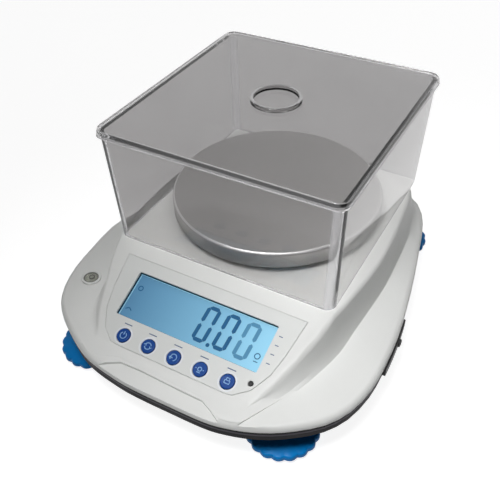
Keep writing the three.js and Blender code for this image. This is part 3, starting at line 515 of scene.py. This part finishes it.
def select_faces(piece, chosen):
    """Selects the faces that pass a test, in edit mode."""
    only(piece)
    bpy.ops.object.mode_set(mode="EDIT")
    bpy.ops.mesh.select_mode(type="FACE")
    bpy.ops.mesh.select_all(action="DESELECT")
    bpy.ops.object.mode_set(mode="OBJECT")
    for face in piece.data.polygons:
        face.select = chosen(face)
    bpy.ops.object.mode_set(mode="EDIT")


def joined(pieces):
    """One piece out of several."""
    nothing_selected()
    for piece in pieces:
        piece.select_set(True)
    bpy.context.view_layer.objects.active = pieces[0]
    bpy.ops.object.join()
    return bpy.context.object


def box_piece(size, centre, turn=0):
    """A block, turned about its upright axis by an angle in radians."""
    nothing_selected()
    bpy.ops.mesh.primitive_cube_add(size=1, location=[value * MM for value in centre])
    piece = bpy.context.object
    piece.scale = [value * MM for value in size]
    piece.rotation_euler.z = turn
    bpy.ops.object.transform_apply(location=True, rotation=True, scale=True)
    return piece


def cut(piece, cutter, operation="DIFFERENCE"):
    """Cuts a piece with another, or joins the two, and removes the other."""
    applied(piece, "BOOLEAN", object=cutter, operation=operation, solver="EXACT")
    bpy.data.objects.remove(cutter, do_unlink=True)
    return piece


console_place = (Matrix.Translation((CONSOLE_CENTRE * MM, CONSOLE_START * MM, PLATFORM_TOP * MM))
                 @ Matrix.Rotation(CONSOLE_ANGLE, 4, "X"))


def on_console(piece):
    """Moves a piece from flat, console coordinates to its place on the slope."""
    bpy.context.view_layer.update()
    piece.matrix_world = console_place @ piece.matrix_world
    only(piece)
    bpy.ops.object.transform_apply(location=True, rotation=True, scale=True)
    return piece


# body
LEDGE = [(-31.6, -112.0), (-24.1, -107.6), (-11.5, -107.1), (1.9, -107.5), (15.0, -107.9), (28.7, -108.0),
         (34.7, -110.7), (41.7, -114.4), (45.7, -135.0), (-61.6, -135.0)]
LEDGE_FLOOR = 29.4
CREASE = [(64.5, -88.0), (51.5, -113.0), (50.3, -119.0), (80.0, -119.0), (80.0, -88.0)]
CREASE_HEIGHT = 30.656
CREASE_RISE = (0.04849, 0.02879)
FOOT_LOW = 30.9
FOOT_HIGH = 33.0
FOOT_ROUNDING = 2.5
FOOT_BEND = math.radians(20)
SIDE_UPNESS = 0.15
FLANGE_UPNESS = 0.9
SINK_CLEARANCE = 6


def soften_foot(piece):
    """Rounds the valley where the raised block's sides meet the flange."""
    faces_at = {}
    for face in piece.data.polygons:
        for key in face.edge_keys:
            faces_at.setdefault(key, []).append(face)
    weights = piece.data.attributes.new("bevel_weight_edge", "FLOAT", "EDGE")
    for edge in piece.data.edges:
        pair = faces_at.get(edge.key, [])
        height = sum(piece.data.vertices[i].co.z for i in edge.vertices) / 2 / MM
        if len(pair) == 2 and FOOT_LOW < height < FOOT_HIGH:
            first, second = pair
            upness = [face.normal.z for face in pair]
            bend = first.normal.angle(second.normal)
            hollow = (second.center - first.center).dot(first.normal) > 0
            if hollow and bend > FOOT_BEND and min(upness) > SIDE_UPNESS and max(upness) > FLANGE_UPNESS:
                weights.data[edge.index].value = 1
    applied(piece, "BEVEL", width=FOOT_ROUNDING * MM, segments=5, limit_method="WEIGHT")


def sink(piece, floor):
    """Cuts away what stands over a flat outline, which is given as points."""
    bpy.ops.mesh.primitive_circle_add(vertices=len(floor), fill_type="NGON")
    cutter = bpy.context.object
    for vertex, point in zip(cutter.data.vertices, floor):
        vertex.co = [value * MM for value in point]
    only(cutter)
    bpy.ops.object.mode_set(mode="EDIT")
    bpy.ops.mesh.select_all(action="SELECT")
    bpy.ops.mesh.extrude_region_move(TRANSFORM_OT_translate={"value": (0, 0, SINK_CLEARANCE * MM)})
    outwards()
    cut(piece, cutter)


def body_shell():
    """The shell, with its sunk strip in front and a crease from the console's side to the rim."""
    piece = merged_copy("upper_shell")
    sink(piece, [(x, y, LEDGE_FLOOR) for x, y in LEDGE])
    sink(piece, [(x, y, CREASE_HEIGHT + CREASE_RISE[0] * x + CREASE_RISE[1] * y) for x, y in CREASE])
    soften_foot(piece)
    rounded_edges(piece, 0.7, 3, 48)
    finished(piece, "body_shell", "shell_white", "base", ("upper_shell",), 40)


body_shell()
refined("base_tray", "base_tray_shell", "base_charcoal", "base", width=0.5)
refined("keypad_overlay", "keypad_film", "overlay_pale", "base", width=0.1, segments=1)

# display
DISPLAY_WIDTH = 92.0
DISPLAY_HEIGHT = 28.3
DISPLAY_MIDDLE = 31.0
PANEL_FACE = -1.9
LENS_FACE = -2.53
LINER_WALL = 0.3
LINER_DROP = 1.0
PANEL_CLEARANCE = 0.4
LINER_CLEARANCE = 0.1
LINER_CUT = 6


def display_panel():
    """The lit panel that shows in the window, with its rounded edge."""
    depth = PANEL_FACE - LENS_FACE
    piece = box_piece((DISPLAY_WIDTH - PANEL_CLEARANCE, DISPLAY_HEIGHT - PANEL_CLEARANCE, depth),
                      (0, -DISPLAY_MIDDLE, PANEL_FACE - depth / 2))
    rounded_edges(piece, 0.15)
    finished(on_console(piece), "display_panel", "lcd_blue", "base")


def display_shade_liner():
    """Dark walls round the panel inside the window: painted shade, a dark piece where the window's recess is
    in shadow.
    """
    top = OVERLAY_FACE - LINER_DROP
    outer = box_piece((DISPLAY_WIDTH - LINER_CLEARANCE, DISPLAY_HEIGHT - LINER_CLEARANCE, top - LENS_FACE),
                      (0, -DISPLAY_MIDDLE, (top + LENS_FACE) / 2))
    inner = box_piece((DISPLAY_WIDTH - 2 * LINER_WALL, DISPLAY_HEIGHT - 2 * LINER_WALL, LINER_CUT),
                      (0, -DISPLAY_MIDDLE, PANEL_FACE))
    finished(on_console(cut(outer, inner)), "display_shade_liner", "frame_teal", "base")


SEGMENT_WIDTH = 2.3
DIGIT_WIDTH = 9.0
DIGIT_HEIGHT = 22.3
DIGIT_TOP = 19.5
SLANT = 0.04
FIGURE_FACE = PANEL_FACE + 0.02
PRINT_DEPTH = 0.06
POINTED_REACH = 0.45
POINTED_WIDTH = 0.12
FIGURES_FROM = (2.4, 15.4)
LAST_FIGURE_FROM = 28.3
POINT_PLACE = (13.3, -41.2)
POINT_RADIUS = 1.15
LEFT_GLOW = 0.5
TOP_GLOW = 0.3
# Rings by their two radii and place, bars by length, width, place and turn
SIGN_RINGS = ((1.7, 1.1, (-41.2, -25.7)), (1.8, 1.25, (41.9, -36.2)))
SIGN_BARS = ((2.4, 0.6, -42.3, -39.5, 0.6), (2.4, 0.6, -40.2, -39.5, -0.6), (2.6, 0.5, 42.2, -39.4, 0))


def bar(length, width, x, y, upright):
    """One pointed segment of a figure, lying flat."""
    nothing_selected()
    bpy.ops.mesh.primitive_plane_add(size=1, location=(0, 0, 0))
    piece = bpy.context.object
    bpy.ops.object.mode_set(mode="EDIT")
    bpy.ops.mesh.select_all(action="SELECT")
    bpy.ops.transform.resize(value=((length - width) * MM, width * MM, 1), center_override=(0, 0, 0))
    bpy.ops.mesh.select_all(action="DESELECT")
    bpy.ops.object.mode_set(mode="OBJECT")
    half = (length - width) / 2 * MM
    for side in (-1, 1):
        for edge in piece.data.edges:
            ends = [piece.data.vertices[i].co.x for i in edge.vertices]
            edge.select = all(abs(end - side * half) < 1e-7 for end in ends)
        bpy.ops.object.mode_set(mode="EDIT")
        bpy.ops.mesh.select_mode(type="EDGE")
        bpy.ops.object.mode_set(mode="OBJECT")
        bpy.ops.object.mode_set(mode="EDIT")
        reach = side * width * POINTED_REACH * MM
        bpy.ops.mesh.extrude_region_move(TRANSFORM_OT_translate={"value": (reach, 0, 0)})
        bpy.ops.transform.resize(value=(1, POINTED_WIDTH, 1), center_override=(0, 0, 0))
        bpy.ops.mesh.select_all(action="DESELECT")
        bpy.ops.object.mode_set(mode="OBJECT")
    if upright:
        piece.rotation_euler.z = math.pi / 2
    piece.location = (x * MM, y * MM, 0)
    bpy.ops.object.transform_apply(location=True, rotation=True, scale=True)
    return piece


def figure_zero(left):
    """Six segments of a nought, leaning to the right."""
    half = DIGIT_WIDTH / 2 - SEGMENT_WIDTH / 2
    quarter = DIGIT_HEIGHT / 4 - SEGMENT_WIDTH / 8
    level = DIGIT_HEIGHT / 2 - SEGMENT_WIDTH / 2
    across = DIGIT_WIDTH - SEGMENT_WIDTH * 1.15
    tall = DIGIT_HEIGHT / 2 - SEGMENT_WIDTH * 0.75
    bars = [bar(across, SEGMENT_WIDTH, 0, side * level, False) for side in (-1, 1)]
    bars += [bar(tall, SEGMENT_WIDTH, sx * half, sy * quarter, True) for sx in (-1, 1) for sy in (-1, 1)]
    piece = joined(bars)
    middle = DIGIT_TOP + DIGIT_HEIGHT / 2
    lean = Matrix(((1, SLANT, 0, 0), (0, 1, 0, 0), (0, 0, 1, 0), (0, 0, 0, 1)))
    piece.data.transform(lean)
    piece.location = ((left + DIGIT_WIDTH / 2) * MM, -middle * MM, 0)
    return piece


def print_thin(piece):
    """Gives a flat print a thickness, its face upwards."""
    only(piece)
    bpy.ops.object.mode_set(mode="EDIT")
    bpy.ops.mesh.select_all(action="SELECT")
    bpy.ops.mesh.extrude_region_move(TRANSFORM_OT_translate={"value": (0, 0, PRINT_DEPTH * MM)})
    outwards()
    return piece


def display_print(piece, name, finish):
    """Puts a print in its place on the lit panel."""
    finished(on_console(piece), name, finish, "base", smooth=0)


def display_figures():
    """The figures with their point, the small signs beside them and the lit edges of the panel."""
    dark = [figure_zero(left) for left in FIGURES_FROM]
    nothing_selected()
    bpy.ops.mesh.primitive_circle_add(vertices=20, radius=POINT_RADIUS * MM, fill_type="NGON",
                                      location=(POINT_PLACE[0] * MM, POINT_PLACE[1] * MM, 0))
    dark.append(bpy.context.object)
    for name, pieces, finish in (("display_figures", dark, "figure_dark"),
                                 ("display_last_figure", [figure_zero(LAST_FIGURE_FROM)], "figure_faint")):
        piece = print_thin(joined(pieces))
        piece.location.z += FIGURE_FACE * MM
        display_print(piece, name, finish)
    signs = [flat_ring(outer, inner, FIGURE_FACE, FIGURE_FACE + PRINT_DEPTH, 24, place)
             for outer, inner, place in SIGN_RINGS]
    signs += [box_piece((length, width, PRINT_DEPTH), (x, y, FIGURE_FACE + PRINT_DEPTH / 2), turn)
              for length, width, x, y, turn in SIGN_BARS]
    display_print(joined(signs), "display_signs", "figure_dark")
    strips = [box_piece((LEFT_GLOW, DISPLAY_HEIGHT - 2 * LINER_WALL, PRINT_DEPTH),
                        (-DISPLAY_WIDTH / 2 + LINER_WALL + 0.6, -DISPLAY_MIDDLE, FIGURE_FACE)),
              box_piece((DISPLAY_WIDTH - 2 * LINER_WALL, TOP_GLOW, PRINT_DEPTH),
                        (0, -DISPLAY_MIDDLE + DISPLAY_HEIGHT / 2 - LINER_WALL - 0.4, FIGURE_FACE))]
    display_print(joined(strips), "display_edge_light", "edge_cyan")


display_panel()
display_shade_liner()
display_figures()

# keys
KEY_TOP = OVERLAY_FACE + 0.6
KEY_RADIUS = 4.1
KEY_FLANGE = 0.9
HALO_OUTER = 1.35
HALO_INNER = 0.36
SIGN_DEPTH = 0.24
STROKE = 0.34
MARK_PRINT = 0.04


def stroke(points):
    """A raised round line through flat points on a key's top."""
    curve = bpy.data.curves.new("stroke", "CURVE")
    curve.dimensions = "3D"
    curve.bevel_depth = STROKE * MM
    curve.bevel_resolution = 2
    curve.use_fill_caps = True
    line = curve.splines.new("POLY")
    line.points.add(len(points) - 1)
    for point, (x, y) in zip(line.points, points):
        point.co = (x * MM, y * MM, 0, 1)
    piece = bpy.data.objects.new("stroke", curve)
    bpy.context.collection.objects.link(piece)
    only(piece)
    bpy.ops.object.convert(target="MESH")
    return bpy.context.object


def arc(radius, start, end, steps=14):
    """Points on an arc about the key's centre, from one angle in degrees to another."""
    angles = [math.radians(start + (end - start) * i / steps) for i in range(steps + 1)]
    return [(radius * math.cos(angle), radius * math.sin(angle)) for angle in angles]


ICONS = {
    "power": [arc(1.9, 125, 415), [(0, 0.4), (0, 2.4)]],
    "unit": [arc(1.9, 20, 160), arc(1.9, 200, 340), [(-2.6, 0.2), (-1.8, 0.9), (-1.2, -0.1)],
             [(2.6, -0.2), (1.8, -0.9), (1.2, 0.1)]],
    "tare": [arc(1.9, -70, 150), [(-2.3, -0.4), (-0.2, -0.4)], [(-1.3, 0.6), (-2.3, -0.4), (-1.3, -1.4)]],
    "zero": [arc(1.1, 0, 360), [(-2.6, 0), (-1.9, 0)], [(1.9, 0), (2.6, 0)], [(-1.1, -1.9), (1.1, -1.9)]],
    "print": [[(-1.5, -1.2), (-1.5, 0.5), (1.5, 0.5), (1.5, -1.2), (-1.5, -1.2)],
              [(-0.9, 0.5), (-0.9, 1.9), (0.9, 1.9), (0.9, 0.5)]],
}


def key_piece(name, x):
    """One key: its cap with a flange below the overlay, its sign, and the pale ring printed round it."""
    body = f"{name}_button"
    flange = KEY_RADIUS + KEY_FLANGE
    cap = turned([(2, -3.8), (flange, -3.8), (flange, -2.7), (KEY_RADIUS, -2.7), (KEY_RADIUS, KEY_TOP - 0.5),
                  (KEY_RADIUS - 0.1, KEY_TOP - 0.25), (KEY_RADIUS - 0.35, KEY_TOP - 0.06),
                  (KEY_RADIUS - 0.8, KEY_TOP), (KEY_RADIUS - 1.2, KEY_TOP - 0.05), (0.5, KEY_TOP - 0.14)],
                 48, (x, -KEY_ROW))
    finished(on_console(cap), f"{name}_key_cap", "key_blue", body, (f"{name}_key",), 40)
    icon = joined([stroke(points) for points in ICONS[name]])
    icon.location = (x * MM, -KEY_ROW * MM, (KEY_TOP - SIGN_DEPTH) * MM)
    finished(on_console(icon), f"{name}_key_sign", "print_pale", body, smooth=60)
    halo = flat_ring(KEY_RADIUS + HALO_OUTER, KEY_RADIUS + HALO_INNER, OVERLAY_FACE, OVERLAY_FACE + 0.05,
                     48, (x, -KEY_ROW))
    finished(on_console(halo), f"{name}_key_halo", "print_halo", "base", smooth=0)


for number, key in enumerate(KEYS):
    key_piece(key, (number - 2) * KEY_PITCH)

# Plain ticks stand where captions would be, over the keys and beside the display
MARK_MIDDLE = OVERLAY_FACE + 0.03
KEY_TICK = (5.2, 0.55, MARK_PRINT)
KEY_TICK_ROW = 48.6
KEY_TICK_SHIFT = 0.8
SIDE_TICK = (2.2, 0.5, MARK_PRINT)
SIDE_TICK_COLUMN = 49.6
SIDE_TICK_START = 22
SIDE_TICK_PITCH = 5.4
marks = [box_piece(KEY_TICK, ((n - 2) * KEY_PITCH - KEY_TICK_SHIFT, -KEY_TICK_ROW, MARK_MIDDLE))
         for n in range(5)]
marks += [box_piece(SIDE_TICK, (SIDE_TICK_COLUMN, -(SIDE_TICK_START + SIDE_TICK_PITCH * n), MARK_MIDDLE))
          for n in range(4)]
finished(on_console(joined(marks)), "keypad_marks", "print_slate", "base", smooth=0)
refined("status_indicator", "status_lamp", "plastic_black", "base", width=0.15)

# bubble level
LEVEL_RADIUS = 6.2
LEVEL_SEAT = 5.4
LEVEL_DEPTH = 8.4
WELL_RADIUS = 4.6
VIAL_RADIUS = 4.25
BUBBLE_OFF = (0.3, 0.4)


def level_pieces():
    """The level's ring, the grey floor of its well, its clear vial, and the printed circle and bubble."""
    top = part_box("level_bezel")[1][2] / MM
    seat = top - 0.9
    x, y = LEVEL_PLACE
    ring = turned([(1, top - LEVEL_DEPTH), (LEVEL_SEAT, top - LEVEL_DEPTH), (LEVEL_SEAT, seat),
                   (LEVEL_RADIUS, seat), (LEVEL_RADIUS, top - 0.35), (6.05, top - 0.1), (5.8, top),
                   (5.2, top), (4.75, top - 0.2), (WELL_RADIUS, top - 0.6), (WELL_RADIUS, top - 7.6),
                   (1, top - 7.6)], 64, (x, y))
    finished(ring, "level_ring", "shell_white", "base", ("level_bezel",), 40)
    floor = turned([(0.4, top - 7.5), (VIAL_RADIUS, top - 7.5), (VIAL_RADIUS, top - 1.9), (0.4, top - 1.9)],
                   48, (x, y))
    finished(floor, "level_floor", "well_grey", "base")
    vial = turned([(0.4, top - 1.85), (VIAL_RADIUS, top - 1.85), (VIAL_RADIUS, top - 0.6), (3.9, top - 0.4),
                   (2.4, top - 0.27), (0.4, top - 0.22)], 48, (x, y))
    finished(vial, "level_lens", "level_clear", "base", ("level_vial",), 50)
    circle = flat_ring(4.55, 4.1, top - 0.6, top - 0.35, 40, (x, y))
    finished(circle, "level_circle", "line_grey", "base")
    bubble = flat_ring(1.9, 1.4, top - 0.4, top - 0.1, 32, (x + BUBBLE_OFF[0], y + BUBBLE_OFF[1]))
    finished(bubble, "level_bubble", "line_grey", "base")


level_pieces()

# shield
def select_edges(piece, chosen):
    """Selects the edges whose two ends pass a test, in edit mode."""
    only(piece)
    bpy.ops.object.mode_set(mode="EDIT")
    bpy.ops.mesh.select_mode(type="EDGE")
    bpy.ops.mesh.select_all(action="DESELECT")
    bpy.ops.object.mode_set(mode="OBJECT")
    for edge in piece.data.edges:
        first, second = (piece.data.vertices[i].co for i in edge.vertices)
        edge.select = chosen(first, second)
    bpy.ops.object.mode_set(mode="EDIT")


def shield_box(half, bottom, top, corner, taper):
    """A square block with rounded upright corners, narrower or wider at its foot."""
    piece = box_piece((2 * half, 2 * half, top - bottom), (0, SHIELD_CENTRE, (top + bottom) / 2))
    select_edges(piece, lambda a, b: abs(a.z - b.z) > 1e-5 and (a.xy - b.xy).length < 1e-6)
    bpy.ops.mesh.bevel(offset=corner * MM, segments=8, affect="EDGES")
    select_faces(piece, lambda face: face.normal.z < -0.9)
    factor = (half - taper) / half
    bpy.ops.transform.resize(value=(factor, factor, 1),
                             center_override=(0, SHIELD_CENTRE * MM, bottom * MM))
    bpy.ops.object.mode_set(mode="OBJECT")
    return piece


def shield_walls():
    """The four walls, open above and below."""
    piece = shield_box(SHIELD_HALF, SHIELD_BOTTOM, SHIELD_TOP, SHIELD_CORNER, SHIELD_DRAFT)
    select_faces(piece, lambda face: abs(face.normal.z) > 0.9)
    bpy.ops.mesh.delete(type="FACE")
    bpy.ops.object.mode_set(mode="OBJECT")
    applied(piece, "SOLIDIFY", thickness=SHIELD_WALL * MM, offset=-1, use_even_offset=True)
    rounded_edges(piece, 0.4, 2, 60)
    finished(piece, "shield_wall_box", "clear_smoke", "walls", ("shield_walls",), 30)


LID_FOOT = 125.7
LID_HALF = 74.2
LID_FLARE = 0.7
LID_ROUNDING = 0.9
LID_FIT = 0.4
COLLAR = 15.0
COLLAR_WALL = 1.8
COLLAR_HEIGHT = 2.5
GRIP_RECESS = 0.4


def shield_lid():
    """The lid's plate with its turned-down edge and the raised ring, which is closed below."""
    piece = shield_box(LID_HALF, LID_FOOT, LID_TOP, SHIELD_CORNER + 1, -LID_FLARE)
    select_edges(piece, lambda a, b: min(a.z, b.z) > (LID_TOP - 0.01) * MM)
    bpy.ops.mesh.bevel(offset=LID_ROUNDING * MM, segments=3, affect="EDGES")
    bpy.ops.object.mode_set(mode="OBJECT")
    hollow = shield_box(SHIELD_HALF + LID_FIT, LID_FOOT - 1, SHIELD_TOP + 0.3, SHIELD_CORNER + LID_FIT, 0)
    cut(piece, hollow)
    collar = turned([(COLLAR, LID_TOP - 1.5), (COLLAR, LID_TOP + COLLAR_HEIGHT - 0.6),
                     (COLLAR - 0.6, LID_TOP + COLLAR_HEIGHT)], 64, (0, SHIELD_CENTRE))
    cut(piece, collar, "UNION")
    inside = turned([(COLLAR - COLLAR_WALL, LID_TOP - GRIP_RECESS),
                     (COLLAR - COLLAR_WALL, LID_TOP + COLLAR_HEIGHT + 1)], 64, (0, SHIELD_CENTRE))
    cut(piece, inside)
    rounded_edges(piece, 0.25, 2, 60)
    finished(piece, "shield_lid_cover", "clear_smoke", "lid", ("shield_lid",), 30)


shield_walls()
shield_lid()

# pan and what carries it
PAN_SKIRT = 10.4
PAN_FOOT = PAN_TOP - PAN_SKIRT
pan = turned([(2, PAN_TOP - 1), (62.2, PAN_TOP - 1), (63.5, PAN_TOP - 1.6), (64.0, PAN_TOP - 2.8),
              (64.0, PAN_FOOT + 0.2), (64.3, PAN_FOOT), (64.8, PAN_FOOT + 0.1),
              (PAN_RADIUS, PAN_FOOT + 0.4), (PAN_RADIUS, PAN_TOP - 2.0), (64.9, PAN_TOP - 1.4),
              (64.5, PAN_TOP - 0.7), (64.0, PAN_TOP - 0.25), (63.2, PAN_TOP), (2, PAN_TOP)],
             160, (0, PAN_CENTRE))
finished(pan, "pan_dish", "steel_brushed", "pan", ("weighing_pan",), 40)
refined("pan_carrier", "pan_spider", "aluminium_plain", "weigh_stage", width=0.4)
refined("pan_post", "pan_post_rod", "zinc_plain", "weigh_stage", width=0.3)
refined("dust_collar", "post_collar", "shell_white", "base", width=0.3)
for n in (1, 2, 3, 4):
    refined(f"pan_pad_{n}", f"pan_rest_pad_{n}", "rubber_black", "weigh_stage", width=0.4)

# feet
WHEEL_RADIUS = 21.0
WHEEL_LOBES = 18
LOBE_DEPTH = 0.05
LOBES_FROM = 16
LOBES_OVER = 3


def foot_wheel(n, x, y):
    """Lobed wheel with a raised hub. The lobes grow from the dish of the wheel to its rim."""
    piece = turned([(19.0, 2.5), (20.4, 2.7), (WHEEL_RADIUS, 3.2), (WHEEL_RADIUS, 5.4), (20.6, 6.1),
                    (19.8, 6.5), (17.0, 7.0), (10.4, 8.7), (9.3, 9.1), (8.9, 9.5), (4.4, 9.5), (4.4, 8.0)],
                   WHEEL_LOBES * 8, (x, y))
    for vertex in piece.data.vertices:
        away = Vector((vertex.co.x - x * MM, vertex.co.y - y * MM))
        if away.length > LOBES_FROM * MM:
            valley = 1 - abs(math.sin(math.atan2(away.y, away.x) * WHEEL_LOBES / 2))
            growth = min(1, (away.length / MM - LOBES_FROM) / LOBES_OVER)
            reach = 1 - valley * LOBE_DEPTH * growth
            vertex.co.x = x * MM + away.x * reach
            vertex.co.y = y * MM + away.y * reach
    finished(piece, f"foot_hand_wheel_{n}", "foot_blue", f"foot_{n}_turn",
             (f"foot_wheel_{n}",), 45)


THREAD_PITCH = 1.25
THREAD_RADIUS = 4.0
THREAD_ROOT = 3.45
THREAD_START = 9.8
THREAD_END = 24


def threaded_stud(n, x, y):
    """A rod with rings for its thread."""
    profile = [(2, 3.8), (3.6, 3.8), (THREAD_RADIUS, 4.2), (THREAD_RADIUS, THREAD_START)]
    height = THREAD_START
    while height < THREAD_END:
        profile += [(THREAD_ROOT, height + THREAD_PITCH / 2), (THREAD_RADIUS, height + THREAD_PITCH)]
        height += THREAD_PITCH
    profile += [(3.5, 25.0)]
    piece = turned(profile, 32, (x, y))
    finished(piece, f"foot_threaded_stud_{n}", "zinc_plain", f"foot_{n}_turn",
             (f"foot_stud_{n}",), 30)


for n, (x, y) in FEET.items():
    foot_wheel(n, x, y)
    threaded_stud(n, x, y)
    refined(f"foot_pad_{n}", f"foot_rubber_pad_{n}", "rubber_black", f"foot_{n}_lift", width=0.5)
    refined(f"foot_insert_{n}", f"foot_brass_nut_{n}", "brass_plain", "base", width=0.3)
    refined(f"case_screw_{n}", f"case_screw_head_{n}", "zinc_plain", "base", width=0.3)

# inside and sockets
for node, name, finish in (("load_cell", "load_cell_beam", "aluminium_plain"),
                           ("cell_mount_block", "cell_mount", "aluminium_plain"),
                           ("cell_bolt_1", "cell_mount_bolt_1", "zinc_plain"),
                           ("cell_bolt_2", "cell_mount_bolt_2", "zinc_plain"),
                           ("overload_stop", "overload_stop_screw", "zinc_plain"),
                           ("main_board", "main_circuit_board", "board_green"),
                           ("data_port", "data_port_socket", "plastic_black")):
    refined(node, name, finish, "base", width=0.3)

INLET_JACK = (-16.4, 23.45)
SIDE_START = 101.7
SIDE_BULGE = 2.87
SIDE_RUN = 40.0
JACK_RADIUS = 2.4
JACK_HOLE = 1.2
JACK_DEPTH = 3
JACK_PROUD = 0.6
PIN_RADIUS = 0.5


def side_reach(y):
    """How far out the strip's face is beside the rim, which curves."""
    along = 1 + y / SIDE_RUN
    return SIDE_START + SIDE_BULGE * (1 - along * along)


def inlet_strip():
    """Black strip that follows the side's curve, with the round jack on it."""
    low, high = ([value / MM for value in corner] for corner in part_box("power_inlet"))
    piece = box_piece((SIDE_START - low[0], high[1] - low[1], high[2] - low[2]),
                      [(first + last) / 2 for first, last in zip(low, (SIDE_START, high[1], high[2]))])
    only(piece)
    bpy.ops.object.mode_set(mode="EDIT")
    bpy.ops.mesh.select_all(action="SELECT")
    bpy.ops.mesh.subdivide(number_cuts=11)
    bpy.ops.object.mode_set(mode="OBJECT")
    for vertex in piece.data.vertices:
        if vertex.co.x > (SIDE_START - 0.01) * MM:
            vertex.co.x = side_reach(vertex.co.y / MM) * MM
    rounded_edges(piece, 0.3, 2, 50)
    end = high[0] + JACK_PROUD
    jack = ring_piece([(JACK_RADIUS, end - JACK_DEPTH), (JACK_RADIUS, end - 0.3), (2.1, end),
                       (JACK_HOLE, end), (JACK_HOLE, end - JACK_DEPTH)], 32)
    pin = turned([(0.1, end - JACK_DEPTH), (PIN_RADIUS, end - JACK_DEPTH), (PIN_RADIUS, end - 0.5),
                  (0.1, end - 0.3)], 16)
    socket = joined([jack, pin])
    socket.matrix_world = (Matrix.Translation((0, INLET_JACK[0] * MM, INLET_JACK[1] * MM))
                           @ Matrix.Rotation(math.pi / 2, 4, "Y"))
    finished(joined([piece, socket]), "power_inlet_socket", "plastic_black", "base",
             ("power_inlet",))


inlet_strip()

# floor, light and camera
# The floor and the world show as white where only the background is seen, and light the part weakly
FLOOR_GLOW = 0.88
FLOOR_DARK = (0.42, 0.42, 0.42, 1)
FLOOR_LIGHT = (0.46, 0.46, 0.46, 1)
AMBIENT = 0.04


def background_rays(tree):
    """1 for rays from the camera, also those that come off metal or through glass, else 0."""
    rays = tree.nodes.new("ShaderNodeLightPath")
    total = rays.outputs["Is Camera Ray"]
    for kind in ("Is Glossy Ray", "Is Transmission Ray"):
        either = tree.nodes.new("ShaderNodeMath")
        either.operation = "MAXIMUM"
        tree.links.new(total, either.inputs[0])
        tree.links.new(rays.outputs[kind], either.inputs[1])
        total = either.outputs["Value"]
    return total


nothing_selected()
bpy.ops.mesh.primitive_plane_add(size=6, location=(0, 0, 0))
floor = bpy.context.object
floor.name = "floor"
paper = Finish("floor_paper")
paper.set(Roughness=0.9)
paper.coloured(paper.blended(paper.ranged(paper.noise(3), 0, 1), FLOOR_DARK, FLOOR_LIGHT))
glow = paper.node("ShaderNodeEmission")
share = paper.node("ShaderNodeMath", operation="MULTIPLY")
share.inputs[1].default_value = FLOOR_GLOW
paper.link(background_rays(paper.tree), share.inputs[0])
paper.link(share.outputs["Value"], glow.inputs["Strength"])
both = paper.node("ShaderNodeAddShader")
paper.link(paper.shader.outputs["BSDF"], both.inputs[0])
paper.link(glow.outputs["Emission"], both.inputs[1])
paper.link(both.outputs["Shader"], paper.output.inputs["Surface"])
floor.data.materials.append(paper.material)

world = bpy.data.worlds.new("studio")
bpy.context.scene.world = world
world.use_nodes = True
sky = world.node_tree.nodes["Background"]
sky.inputs["Color"].default_value = (1, 1, 1, 1)
strength = world.node_tree.nodes.new("ShaderNodeMapRange")
strength.inputs["To Min"].default_value = AMBIENT
strength.inputs["To Max"].default_value = 1.0
world.node_tree.links.new(background_rays(world.node_tree), strength.inputs["Value"])
world.node_tree.links.new(strength.outputs["Result"], sky.inputs["Strength"])


def lamp(name, place, aim, size, power, spread):
    """An area lamp in metres, watts and degrees, aimed at a point."""
    light = bpy.data.lights.new(name, "AREA")
    light.size = size
    light.energy = power
    light.spread = math.radians(spread)
    made = bpy.data.objects.new(name, light)
    bpy.context.collection.objects.link(made)
    made.location = place
    made.rotation_euler = (Vector(aim) - Vector(place)).to_track_quat("-Z", "Y").to_euler()


# Place, aim, size, power and spread
LAMPS = {
    "key_light": ((0.04, -0.24, 0.6), (0.15, -0.11, 0.04), 0.2, 0.44, 68),
    "top_light": ((0.15, 0.45, 0.8), (0, 0, 0.05), 0.5, 1.0, 180),
}
for name, settings in LAMPS.items():
    lamp(name, *settings)

azimuth, elevation, roll = (math.radians(v) for v in (CAMERA_AZIMUTH, CAMERA_ELEVATION, CAMERA_ROLL))
back = Vector((math.sin(azimuth) * math.cos(elevation), -math.cos(azimuth) * math.cos(elevation),
               math.sin(elevation)))
right = (-back).cross(Vector((0, 0, 1))).normalized()
up = right.cross(-back)
right, up = (right * math.cos(roll) + up * math.sin(roll), up * math.cos(roll) - right * math.sin(roll))
camera = bpy.data.objects.new("camera", bpy.data.cameras.new("camera"))
bpy.context.collection.objects.link(camera)
camera.data.lens = CAMERA_LENS
camera.data.sensor_width = CAMERA_SENSOR
camera.data.clip_start = CAMERA_NEAR
camera.matrix_world = Matrix.Translation(CAMERA_PLACE) @ Matrix((right, up, back)).transposed().to_4x4()
bpy.context.scene.camera = camera
bpy.context.scene.view_settings.view_transform = "Standard"
